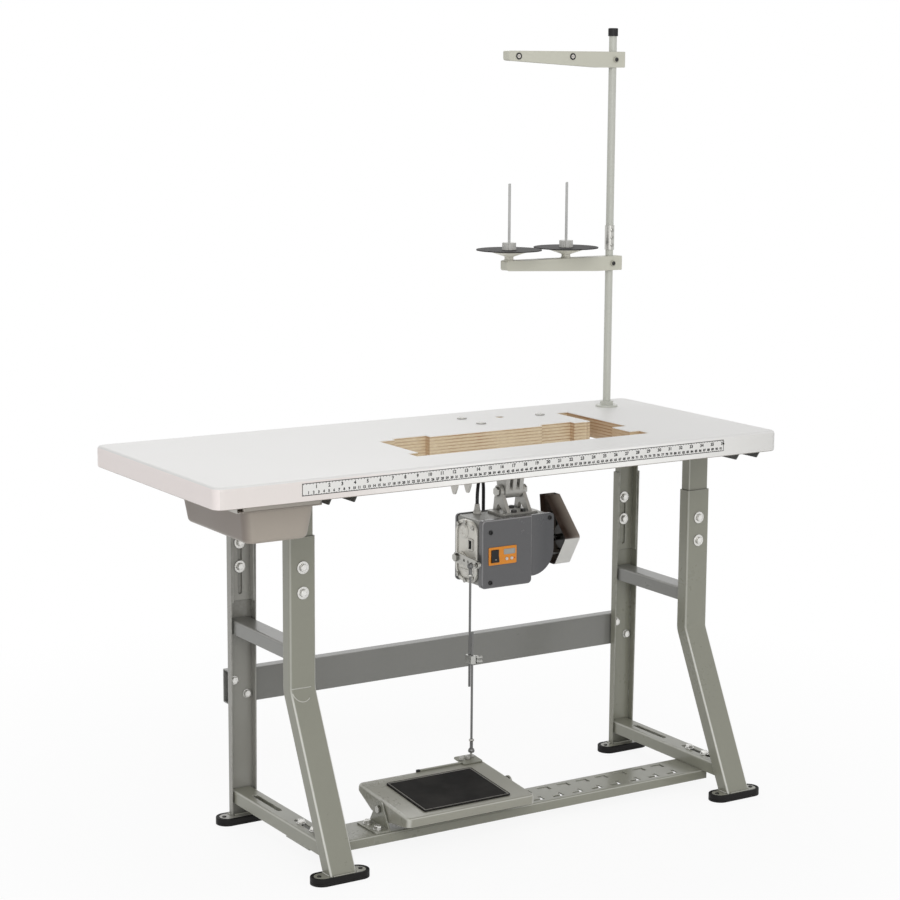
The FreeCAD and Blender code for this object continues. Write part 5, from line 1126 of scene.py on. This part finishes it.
cradleLook = {"flats": 10 * mm, "head": 5 * mm, "chamfer": 0.6 * mm, "rim": 1.2 * mm, "dish": 0.4 * mm,
              "fromMiddle": (11 * mm, 21 * mm), "foot": 6 * mm, "turn": 0.4}


def buildCradleBolts():
    s = cradleLook
    low, high = nodeBox("motor_cradle")
    middle = (low + high) / 2
    pattern = makeHexHead("cradlePattern", s["flats"], s["head"], s["chamfer"], s["rim"], s["dish"])
    x, y = s["fromMiddle"]
    spots = [(middle.x + a * x, middle.y + b * y, low.z + s["foot"]) for b in (-1, 1) for a in (-1, 1)]
    setCopies(pattern, "cradleBolt", spots, (0, 0, 1), "darkSteel", s["turn"])
    discard(pattern)


displayLook = {"size": (27 * mm, 1.0 * mm, 11 * mm), "fromLeft": 49 * mm, "proud": 0.2 * mm,
               "fromTop": 11 * mm, "corner": 1.4 * mm, "edge": 0.25 * mm, "border": 1.0 * mm,
               "sink": 0.25 * mm, "lampFromRight": 4.2 * mm, "lampRise": 10.5 * mm,
               "lamp": [(0, 0.6 * mm), (0.9 * mm, 0.5 * mm), (1.5 * mm, 0.1 * mm), (1.5 * mm, -0.4 * mm),
                        (0, -0.4 * mm)]}


def buildDisplay():
    s = displayLook
    low, high = nodeBox("control_panel")
    size = Vector(s["size"])
    centre = Vector((low.x + s["fromLeft"], low.y - s["proud"], high.z - s["fromTop"]))
    display = startBox("speedDisplay", centre, size)
    bevelEdges(display, lambda a, b: abs(a.y - b.y) > size.y / 2, s["corner"], 3)
    bevelEdges(display, lambda a, b: max(a.y, b.y) < centre.y - size.y / 4, s["edge"], 2)
    insetAndPush(display, lambda c, n: n.y < -0.99, s["border"], -s["sink"])
    smooth(display)
    settle(display, "table", "displayGlass")
    lamp = lathe("speedLamp", s["lamp"], 20)
    smooth(lamp, 50)
    place(lamp, standing((high.x - s["lampFromRight"], low.y, low.z + s["lampRise"]), (0, -1, 0)))
    settle(lamp, "table", "redPlastic")


markLook = {"bore": 1.5 * mm, "ring": 2.2 * mm, "rise": 0.15 * mm, "barWide": 0.8 * mm, "barHigh": 4.2 * mm,
            "barEdge": 0.03 * mm, "fromMiddle": 8 * mm, "nearby": 6 * mm, "back": 1.0 * mm, "lean": 0.2}


def buildRockerMarks():  # ring below, bar above, each on its slope of the rocker
    s = markLook
    low, high = nodeBox("rocker_switch")
    middle = (low + high) / 2
    ring = lathe("offMark", [(s["bore"], 0), (s["ring"], 0), (s["ring"], s["rise"]), (s["bore"], s["rise"])],
                 24, True)
    bar = startBox("onMark", (0, 0, s["rise"] / 2), (s["barWide"], s["barHigh"], s["rise"]))
    bevelEdges(bar, lambda a, b: min(a.z, b.z) > s["rise"] / 2, s["barEdge"], 1)
    points = nodes["rocker_switch"].data.vertices
    for mark, side in ((ring, -1), (bar, 1)):
        z = middle.z + side * s["fromMiddle"]
        front = min(v.co.y for v in points if abs(v.co.z - z) < s["nearby"])
        turned = Matrix.Rotation(math.pi / 2 - side * s["lean"], 4, "X")
        place(mark, Matrix.Translation((middle.x, front + s["back"], z)) @ turned)
        settle(mark, "rocker", "whiteInk")


bellLook = {"thick": 7 * mm, "recess": 2.5 * mm, "boltFlats": 8.5 * mm, "boltHeight": 3.6 * mm,
            "boltEdge": 0.5 * mm, "boltRim": 1.0 * mm, "boltDish": 0.3 * mm, "boltTurn": 0.5,
            "cornerInset": 12 * mm, "sideInset": 3.6 * mm, "capRadius": 15 * mm, "capDepth": 3.4 * mm,
            "capSink": 0.4 * mm, "capAt": (47 * mm, 103 * mm), "plugLow": (18.5 * mm, 70 * mm),
            "plugHigh": (30.5 * mm, 88 * mm), "plugSink": 2.2 * mm, "plugDepth": 2.4 * mm,
            "plugGap": 0.6 * mm, "plugCorner": 0.8 * mm, "plugWall": 2.0 * mm, "plugHollow": 1.2 * mm,
            "ribs": (24 * mm, 36 * mm), "ribShift": -2 * mm, "ribShort": 22 * mm, "ribSink": 0.5 * mm,
            "ribDeep": 2.2 * mm, "ribHigh": 3.2 * mm, "ribEdge": 0.9 * mm}


def buildEndBell():  # bolts, bearing cap, plug and ribs on the cast end
    s = bellLook
    right = nodeBox("motor_end_cover")[1].x
    rim = [v.co for v in nodes["motor_end_cover"].data.vertices if v.co.x > right - 1 * mm]
    front, back = min(p.y for p in rim), max(p.y for p in rim)
    foot, head = min(p.z for p in rim), max(p.z for p in rim)
    across = (front + back) / 2
    face = right - s["thick"]
    floor = face + s["recess"]
    pattern = makeHexHead("bellBoltPattern", s["boltFlats"], s["boltHeight"], s["boltEdge"], s["boltRim"],
                          s["boltDish"])
    a, b = s["cornerInset"], s["sideInset"]
    corners = [(face, y, z) for z in (head - a, foot + a) for y in (front + a, back - a)]
    spots = corners + [(face, across, head - b), (face, across, foot + b)]
    setCopies(pattern, "bellBolt", spots, (-1, 0, 0), "zincPlate", s["boltTurn"])
    discard(pattern)
    r, d = s["capRadius"], s["capDepth"]
    cap = lathe("bearingCap", [(0, d * 0.7), (r * 0.42, d * 0.7), (r * 0.48, d), (r * 0.72, d),
                               (r * 0.8, d * 0.55), (r * 0.94, d * 0.45), (r, d * 0.2), (r, -s["capSink"]),
                               (0, -s["capSink"])], 40)
    smooth(cap)
    place(cap, standing((floor, front + s["capAt"][0], foot + s["capAt"][1]), (-1, 0, 0)))
    settle(cap, "table", "endCast")
    low, high = Vector(s["plugLow"]), Vector(s["plugHigh"])
    middle, size = (low + high) / 2, high - low
    centre = (face + s["plugSink"] + s["plugDepth"] / 2, front + middle.x, foot + middle.y)
    plug = startBox("plugInsert", centre, (s["plugDepth"], size.x - s["plugGap"], size.y - s["plugGap"]))
    bevelEdges(plug, lambda p, q: abs(p.x - q.x) > s["plugDepth"] / 2, s["plugCorner"], 2)
    insetAndPush(plug, lambda c, n: n.x < -0.9, s["plugWall"], -s["plugHollow"])
    smooth(plug)
    settle(plug, "table", "blackPlastic")
    for i, rise in enumerate(s["ribs"]):  # cast ribs across the hollow of the end
        centre = (floor - s["ribSink"], across + s["ribShift"], foot + rise)
        rib = startBox("endRib%d" % (i + 1), centre,
                       (s["ribDeep"], back - front - s["ribShort"], s["ribHigh"]))
        bevelEdges(rib, lambda p, q: max(p.x, q.x) < centre[0] and abs(p.y - q.y) > s["ribHigh"],
                   s["ribEdge"], 2)
        smooth(rib)
        settle(rib, "table", "endCast")


finLook = {"count": 12, "rise": 4.2 * mm, "thick": 2.2 * mm, "root": 2 * mm, "gap": 2 * mm, "edge": 0.7 * mm,
           "firstAngle": -4, "sweep": 84, "roundSide": 52 * mm, "foot": 14 * mm, "housing": 3 * mm}


def buildFins():
    s = finLook
    low, high = nodeBox("motor_front_cover")
    front, back = high.y + s["gap"], nodeBox("motor_housing")[1].y
    radius = s["roundSide"] - s["housing"]
    hub = Vector((high.x - s["roundSide"], 0, low.z + s["foot"] + s["roundSide"]))
    centre = (0, (front + back) / 2, -radius - s["rise"] / 2 + s["root"] / 2)
    pattern = startBox("finPattern", centre, (s["thick"], back - front - s["gap"], s["rise"] + s["root"]))
    bevelEdges(pattern, lambda a, b: max(a.z, b.z) < -radius, s["edge"], 2)
    smooth(pattern)
    for i in range(s["count"]):
        angle = math.radians(s["firstAngle"] - s["sweep"] * i / (s["count"] - 1))
        matrix = Matrix.Translation(hub) @ Matrix.Rotation(angle, 4, "Y")
        settle(copyTo(pattern, "coolingFin%02d" % (i + 1), matrix), "table", "castAluminium")
    discard(pattern)


ventLook = {"columns": 3, "rows": 8, "wide": 48 * mm, "high": 64 * mm, "fromLeft": 47 * mm, "rise": 8 * mm,
            "bar": 1.7 * mm, "deep": 1.2 * mm, "wall": 1.2 * mm, "proud": 2.2 * mm}


def buildRearVent():
    s = ventLook
    low, high = nodeBox("motor_rear_cover")
    centre = (low.x + s["fromLeft"], high.y + s["proud"], (low.z + high.z) / 2 + s["rise"])
    deselectAll()
    bpy.ops.mesh.primitive_grid_add(x_subdivisions=s["columns"], y_subdivisions=s["rows"], size=1.0,
                                    location=(0, 0, 0))
    vent = bpy.context.active_object
    vent.name = "rearVent"
    vent.scale = (s["wide"], s["high"], 1)
    bpy.ops.object.transform_apply(location=True, rotation=True, scale=True)
    pickFaces(vent, lambda c, n: True)
    bpy.ops.mesh.inset(thickness=s["bar"], use_individual=True, use_boundary=True)
    lift(-s["deep"])
    backToObject()
    makeActive(vent)
    wall = vent.modifiers.new("wall", "SOLIDIFY")
    wall.thickness = s["wall"]
    wall.offset = -1.0
    bpy.ops.object.modifier_apply(modifier="wall")
    place(vent, Matrix.Translation(centre) @ Matrix.Rotation(-math.pi / 2, 4, "X"))
    smooth(vent, 30)
    settle(vent, "table", "blackPlastic")


buildCoverScrews()
buildCradleBolts()
buildDisplay()
buildRockerMarks()
buildEndBell()
buildFins()
buildRearVent()
print("motor dressed")


# Motor lead: ribbed boot, grommet and the lead itself

leadLook = {"radius": 3.5 * mm, "hold": 0.98, "bootRibs": 4, "bootBase": 8.5 * mm, "bootLow": 6.5 * mm,
            "bootTip": 5 * mm, "bootGroove": 0.5 * mm, "bootBaseHeight": 6 * mm, "bootBaseEdge": 1 * mm,
            "bootHeight": 20 * mm, "ribEdge": 0.1 * mm, "neck": 1.4 * mm, "neckRim": 0.6 * mm,
            "neckEnd": 1.2 * mm, "at": (155.5 * mm, 148 * mm), "glandHigh": 589 * mm, "entryHigh": 500 * mm,
            "over": [(0, 0, -12), (0, 0, -11), (0, 0, 24), (16.7, 19, 50), (40.3, 46, 50), (57, 65, 24),
                     (57, 65, -11), (57, 65, -37)],
            "into": [(57, 64, 26), (57, 55, 9), (57, 38, 0), (57, 21, 0)]}


def buildBoot(gland):
    s = leadLook
    hole, base, height = s["radius"] * s["hold"], s["bootBase"], s["bootBaseHeight"]
    profile = [(hole, 0), (base, 0), (base, height * 0.8), (base - s["bootBaseEdge"], height)]
    step = (s["bootHeight"] - height) / s["bootRibs"]
    for i in range(s["bootRibs"]):
        z = height + i * step
        wide = s["bootLow"] + (s["bootTip"] - s["bootLow"]) * i / (s["bootRibs"] - 1)
        narrow = wide - s["bootGroove"]
        profile += [(narrow, z + s["ribEdge"]), (wide, z + 0.3 * step), (wide, z + 0.75 * step),
                    (narrow, z + step - s["ribEdge"])]
    profile.append((hole, s["bootHeight"]))
    boot = lathe("glandBoot", profile, 32, True)
    smooth(boot, 50)
    low, high = gland
    place(boot, Matrix.Translation(((low.x + high.x) / 2, (low.y + high.y) / 2, low.z)))
    settle(boot, "table", "glandPlastic", ("cable_gland",))


def buildGrommet(grommet):
    s = leadLook
    low, high = grommet
    hole, wide, length = s["radius"] * s["hold"], (high.x - low.x) / 2, high.y - low.y
    neck = wide - s["neck"]
    ring = lathe("leadGrommet", [(hole, 0), (wide, 0), (wide, length * 0.25), (neck, length * 0.4),
                                 (neck, length * 0.7), (wide - s["neckRim"], length * 0.8),
                                 (wide - s["neckEnd"], length), (hole, length)],
                 32, True)
    smooth(ring, 50)
    place(ring, standing(((low.x + high.x) / 2, low.y, (low.z + high.z) / 2), (0, 1, 0)))
    settle(ring, "table", "blackPlastic")


def buildLead():
    s = leadLook
    gland, grommet = sorted(solidBoxes("cable_gland"), key=lambda pair: -pair[1].z)
    buildBoot(gland)
    buildGrommet(grommet)
    x, y = s["at"]
    points = [(x + a * mm, y + b * mm, level + c * mm)
              for level, way in ((s["glandHigh"], s["over"]), (s["entryHigh"], s["into"])) for a, b, c in way]
    lead = startTube("motorLead", s["radius"], 5, "NURBS", [points], 10)
    spline = lead.data.splines[0]
    spline.order_u = 3
    spline.use_endpoint_u = True
    settle(lead, "table", "cableRubber", ("motor_cable",))


buildLead()
print("motor lead laid")


# Weld beads round the feet of the legs

weldLook = {"bead": 2.8 * mm, "plateTop": 13.5 * mm, "halfWidth": 28 * mm, "corner": 5 * mm, "rise": 0.35,
            "out": 0.3, "round": 0.62}


def makeBead(name, start, end, away):
    s = weldLook
    bead = s["bead"]
    middle = (start + end) / 2 + Vector((0, 0, bead * s["rise"])) + away * bead * s["out"]
    size = Vector((abs(end.x - start.x), abs(end.y - start.y), bead))
    size += Vector((abs(away.x), abs(away.y), 0)) * bead
    outer = middle.dot(away)
    piece = startBox(name, middle, size)
    bevelEdges(piece, lambda a, b: min(a.z, b.z) > middle.z and min(a.dot(away), b.dot(away)) > outer,
               bead * s["round"], 3)
    return piece


def buildWelds():
    s = weldLook
    names = ("left_front_leg", "right_front_leg", "left_rear_leg", "right_rear_leg")
    z, c = s["plateTop"], s["corner"]
    for name in names:
        low, high = nodeBox(name)
        x = (low.x + high.x) / 2
        ring = [v.co for v in nodes[name].data.vertices
                if abs(v.co.z - z) < 0.2 * mm and abs(v.co.x - x) < s["halfWidth"]]
        left, right = min(p.x for p in ring), max(p.x for p in ring)
        front, back = min(p.y for p in ring), max(p.y for p in ring)
        beads = [makeBead(label, Vector((*start, z)), Vector((*end, z)), Vector(away))
                 for label, start, end, away in (
                     ("beadFront", (left + c, front), (right - c, front), (0, -1, 0)),
                     ("beadLeft", (left, front + c), (left, back), (-1, 0, 0)),
                     ("beadRight", (right, front + c), (right, back), (1, 0, 0)))]
        weld = joinPieces("footWeld_" + name, beads)
        smooth(weld, 40)
        settle(weld, "stand", "framePaint")
    return len(names)


print("foot welds:", buildWelds())


# Left front leg: low ridges of the press mark at its bend, with a painted highlight

creaseLook = {"height": 327 * mm, "lineHalf": 20 * mm, "shift": -4 * mm, "drop": 3.5 * mm, "radius": 20 * mm,
              "wide": 1.1 * mm, "sink": 0.4 * mm, "steps": 16, "arcFrom": 192, "arcTo": 312, "before": 0.1}


def buildCrease():
    s = creaseLook
    mesh = nodes["left_front_leg"].data
    skin = BVHTree.FromPolygons([v.co for v in mesh.vertices], [f.vertices for f in mesh.polygons])
    low, high = nodeBox("left_front_leg")
    x, z, r = (low.x + high.x) / 2 + s["shift"], s["height"], s["radius"]
    shares = [i / s["steps"] for i in range(s["steps"] + 1)]
    turns = [math.radians(s["arcFrom"] + (s["arcTo"] - s["arcFrom"]) * share) for share in shares]
    line = [(x + s["lineHalf"] * (2 * share - 1), z) for share in shares]
    arc = [(x + r * math.cos(turn), z - s["drop"] + r * math.sin(turn)) for turn in turns]

    def onSkin(a, b):
        spot, normal = skin.ray_cast(Vector((a, low.y - s["before"], b)), Vector((0, 1, 0)))[:2]
        return spot - normal * s["sink"]

    ridge = startTube("legCrease", s["wide"], 3, "POLY",
                      [[onSkin(*point) for point in chain] for chain in (line, arc)])
    makeActive(ridge)
    bpy.ops.object.convert(target="MESH")
    ridge = bpy.context.active_object
    smooth(ridge, 60)
    settle(ridge, "stand", "creasePaint")


buildCrease()
print("leg crease laid")


# Pedal: stiffening strip along the rear edge with a dark end

heelLook = {"length": 96 * mm, "wide": 4 * mm, "high": 4.5 * mm, "round": 1.2 * mm, "cap": 7 * mm,
            "capGrow": 0.8 * mm, "capOver": 0.5 * mm, "fromRear": 1.2 * mm, "sink": 0.6 * mm,
            "matThick": 3 * mm}


def buildHeelStrip():
    s = heelLook
    middle, up = topPlane("pedal_mat")
    backward = Vector((0, up.z, -up.y))
    rear = max(v.co.dot(backward) for v in nodes["pedal"].data.vertices) - s["wide"] / 2 - s["fromRear"]
    top = middle.dot(up) - s["matThick"] + s["high"] / 2 - s["sink"]
    seat = Vector((nodeBox("pedal_stud")[0].x, 0, 0)) + backward * rear + up * top
    lean = Matrix((Vector((1, 0, 0)), backward, up)).transposed().to_4x4()
    left = -s["length"]
    for name, start, end, grow, finish, slot in (
            ("heelStrip", left, 0.0, 0.0, "framePaint", "frame_paint"),
            ("heelStripEnd", left - s["cap"], left + s["capOver"], s["capGrow"], "blackPlastic",
             "black_plastic")):
        strip = startBox(name, ((start + end) / 2, 0, 0), (end - start, s["wide"] + grow, s["high"] + grow))
        bevelEdges(strip, lambda a, b: min(a.z, b.z) > 0, s["round"], 3)
        smooth(strip)
        place(strip, Matrix.Translation(seat) @ lean)
        settle(strip, "pedal", finish)


buildHeelStrip()
print("heel strip set")


# Drawer: lip along the top of the front

lipLook = {"inset": 5 * mm, "thick": 4.4 * mm, "overlap": 3 * mm, "gap": 1.5 * mm, "round": 1.5 * mm}


def buildDrawerLip():
    s = lipLook
    low, high = nodeBox("drawer")
    foot, head = high.z - s["overlap"], nodeBox("table_top")[0].z - s["gap"]
    centre = ((low.x + high.x) / 2, low.y + s["thick"] / 2, (foot + head) / 2)
    lip = startBox("drawerLip", centre, (high.x - low.x - 2 * s["inset"], s["thick"], head - foot))
    bevelEdges(lip, lambda a, b: max(a.y, b.y) < centre[1], s["round"], 3)
    smooth(lip)
    settle(lip, "drawer", "drawerRim")


buildDrawerLip()
print("drawer lip set")


# Treadle rods: lock nuts next to the sockets

rodLook = {"nutFlats": 9 * mm, "nutHeight": 4.5 * mm, "nutEdge": 0.5 * mm, "socketSpan": 21 * mm}


def buildRodNuts():
    s = rodLook
    for name, fromTop in (("lower_rod", False), ("upper_rod", True)):
        toe, head = rodLine(name)
        along = (head - toe).normalized()
        start = (head - along * (s["socketSpan"] + s["nutHeight"]) if fromTop
                 else toe + along * s["socketSpan"])
        nut = hexPart("lockNut_" + name, s["nutFlats"], 0, s["nutHeight"], s["nutEdge"], "both")
        smooth(nut)
        place(nut, standing(start, along))
        settle(nut, name, "zincPlate")


buildRodNuts()
print("rod nuts set")


# Thread stand: eyelets with their inserts, arm screws, cap and coupling screws

standLook = {"eyelet": 4 * mm, "eyeletRim": 6.6 * mm, "eyeletLip": 1.1 * mm, "eyeFit": 0.05 * mm,
             "armHalf": 10 * mm, "mastY": 171 * mm, "insertBore": 1.8 * mm, "insertProud": 0.3 * mm,
             "insertRound": 0.4 * mm, "insertMouth": 0.5 * mm, "capRibs": 16, "capGroove": 0.7 * mm,
             "capBorder": 1.2 * mm, "capDrop": 1.0 * mm, "screwShares": (0.2, 0.5, 0.8),
             "screwSink": 0.9 * mm, "screwTurn": 0.9, "armScrewOut": 0.1 * mm, "armScrewTurn": 0.6}


def buildEyes():  # black eyelets through the guide arm, then their white inserts
    s = standLook
    rim, lip, tube = s["eyeletRim"], s["eyeletLip"], s["eyelet"]
    end = s["armHalf"] + lip
    bore = tube + s["eyeFit"]
    eyelet = [(tube, -end), (rim, -end), (rim, -end + lip), (bore, -end + 1.5 * lip), (bore, end - 1.5 * lip),
              (rim, end - lip), (rim, end), (tube, end)]
    tip = end + s["insertProud"]
    inner, outer, soft = s["insertBore"], tube - s["eyeFit"], s["insertRound"]
    mouth = inner + s["insertMouth"]
    insert = [(mouth, -tip), (outer, -tip + soft), (outer, tip - soft), (mouth, tip), (inner, tip - 2 * soft),
              (inner, -tip + 2 * soft)]
    for label, profile, steps, slot, finish in (("eyelet", eyelet, 32, "black_plastic", "blackPlastic"),
                                                ("eyeInsert", insert, 28, "button_plastic", "buttonPlastic")):
        for mount in frame["record"]["mounts"]:
            if mount["name"].startswith("thread_eye"):
                ring = lathe(mount["name"].replace("thread_eye", label), profile, steps, True)
                smooth(ring, 50)
                place(ring, standing((mount["pos_m"][0], s["mastY"], mount["pos_m"][2]), (0, -1, 0)))
                settle(ring, "guide_arm", finish)


def buildArmScrews():
    s = standLook
    for name in ("spool_arm", "guide_arm"):
        front = nodeBox(name)[0].y
        face = [v.co for v in nodes[name].data.vertices if v.co.y < front + 0.4 * mm]
        x = (min(p.x for p in face) + max(p.x for p in face)) / 2
        z = (min(p.z for p in face) + max(p.z for p in face)) / 2
        turned = standing((x, front - s["armScrewOut"], z), (0, -1, 0), s["armScrewTurn"])
        settle(copyTo(plateScrew, name.replace("_arm", "ArmScrew"), turned), name, "darkSteel")


def buildCap():
    s = standLook
    low, high = nodeBox("rod_cap")
    middle = (low + high) / 2
    radius = (high.x - low.x) / 2
    cap = startRound("mastCap", middle, radius, high.z - low.z, 4 * s["capRibs"])
    step = 2 * math.pi / s["capRibs"]
    pickFaces(cap, lambda c, n: abs(n.z) < 0.3
              and math.atan2(c.y - middle.y, c.x - middle.x) / step % 1.0 < 0.5)
    push(-s["capGroove"])
    backToObject()
    pickFaces(cap, lambda c, n: n.z > 0.9 and c.z > high.z - near)
    bpy.ops.mesh.inset(thickness=s["capBorder"])
    backToObject()
    shift(cap, lambda p: p.z > high.z - near and (p.xy - middle.xy).length > radius - 1.0 * mm,
          (0, 0, -s["capDrop"]))
    smooth(cap, 30)
    settle(cap, "table", "blackPlastic", ("rod_cap",))


def buildCouplingScrews():
    s = standLook
    low, high = nodeBox("rod_coupling")
    x, y = (low.x + high.x) / 2, low.y + s["screwSink"]
    spots = [(x, y, low.z + share * (high.z - low.z)) for share in s["screwShares"]]
    setCopies(plateScrew, "couplingScrew", spots, (0, -1, 0), "zincPlate", s["screwTurn"])


buildEyes()
buildArmScrews()
buildCap()
buildCouplingScrews()
discard(plateScrew)
print("thread stand dressed")


# Floor, light and camera

stageLook = {
    "floorColour": tone(250, 250, 250), "floorHalf": 14.0, "floorRough": 0.9, "floorSpread": 0.003,
    "floorScale": 3.0, "fadeNear": 0.6, "fadeFar": 1.7, "nearWhite": 0.9, "skyStrength": 0.55,
    "key": dict(spot=(-2.2, -3.9, 3.5), aim=(-0.1, 0.0, 0.6), size=2.6, power=61.0),
    "fill": dict(spot=(-1.2, -4.6, 1.0), aim=(-0.1, 0.0, 0.6), size=3.0, power=23.0),
    "rear": dict(spot=(1.2, 3.6, 3.4), aim=(0.0, 0.0, 0.7), size=2.4, power=30.0),
}


def seenDirectly(tree):  # by the camera, in a reflection or through glass
    path = tree.nodes.new("ShaderNodeLightPath").outputs
    seen = most(tree, path["Is Camera Ray"], path["Is Glossy Ray"])
    return most(tree, seen, path["Is Transmission Ray"])


def buildFloor():  # white paper that fades into a plain white surround
    s = stageLook
    deselectAll()
    bpy.ops.mesh.primitive_plane_add(size=2 * s["floorHalf"], location=(0, 0, 0))
    floor = bpy.context.active_object
    floor.name = "studioFloor"
    material, tree, shader, coordinates = newMaterial("studioPaper")
    paper = putGroup(tree, mottleGroup, Vector=coordinates, Base=s["floorColour"], Spread=s["floorSpread"],
                     Scale=s["floorScale"])
    tree.links.new(paper.outputs["Color"], shader.inputs["Base Color"])
    shader.inputs["Roughness"].default_value = s["floorRough"]
    spot = xyz(tree, coordinates)
    away = ramp(tree, reachOf(tree, spot["X"], spot["Y"]), s["fadeNear"], s["fadeFar"], s["nearWhite"], 1.0)
    white = tree.nodes.new("ShaderNodeEmission")
    white.inputs["Color"].default_value = (1, 1, 1, 1)
    white.inputs["Strength"].default_value = 1.0
    mix = tree.nodes.new("ShaderNodeMixShader")
    tree.links.new(times(tree, away, seenDirectly(tree)), mix.inputs["Fac"])
    tree.links.new(shader.outputs["BSDF"], mix.inputs[1])
    tree.links.new(white.outputs["Emission"], mix.inputs[2])
    tree.links.new(mix.outputs["Shader"], tree.nodes["Material Output"].inputs["Surface"])
    floor.data.materials.append(material)


def buildLight():
    s = stageLook
    world = bpy.data.worlds.new("studioWorld")
    world.use_nodes = True
    tree = world.node_tree
    background = tree.nodes["Background"]
    tree.links.new(ramp(tree, seenDirectly(tree), 0.0, 1.0, s["skyStrength"], 1.0),
                   background.inputs["Strength"])
    background.inputs["Color"].default_value = (1, 1, 1, 1)
    bpy.context.scene.world = world
    for label in ("key", "fill", "rear"):
        lamp = bpy.data.lights.new(label + "Lamp", "AREA")
        lamp.size = s[label]["size"]
        lamp.energy = s[label]["power"]
        spot, aim = Vector(s[label]["spot"]), Vector(s[label]["aim"])
        holder = addObject(label + "Lamp", lamp)
        holder.location = spot
        holder.rotation_euler = (aim - spot).to_track_quat("-Z", "Y").to_euler()


cameraLook = {"target": (-0.0025305, 0.0, 0.7345641), "distance": 4.306371, "azimuth": -0.5595,
              "elevation": 0.1698, "roll": 0.006, "lens": 90.0565, "sensor": 36.0, "farthest": 60.0}


def buildCamera():
    s = cameraLook
    level = math.cos(s["elevation"])
    outward = Vector((math.sin(s["azimuth"]) * level, -math.cos(s["azimuth"]) * level,
                      math.sin(s["elevation"])))
    right = (-outward).cross(Vector((0, 0, 1))).normalized()
    up = right.cross(-outward)
    tiltedRight = right * math.cos(s["roll"]) + up * math.sin(s["roll"])
    tiltedUp = up * math.cos(s["roll"]) - right * math.sin(s["roll"])
    lensData = bpy.data.cameras.new("photoCamera")
    lensData.lens = s["lens"]
    lensData.sensor_width = s["sensor"]
    lensData.clip_end = s["farthest"]
    camera = addObject("photoCamera", lensData)
    axes = Matrix((tiltedRight, tiltedUp, outward)).transposed().to_4x4()
    camera.matrix_world = Matrix.Translation(Vector(s["target"]) + outward * s["distance"]) @ axes
    bpy.context.scene.camera = camera


buildFloor()
buildLight()
buildCamera()
bpy.context.scene.view_settings.view_transform = "Standard"
print("stage and camera set")
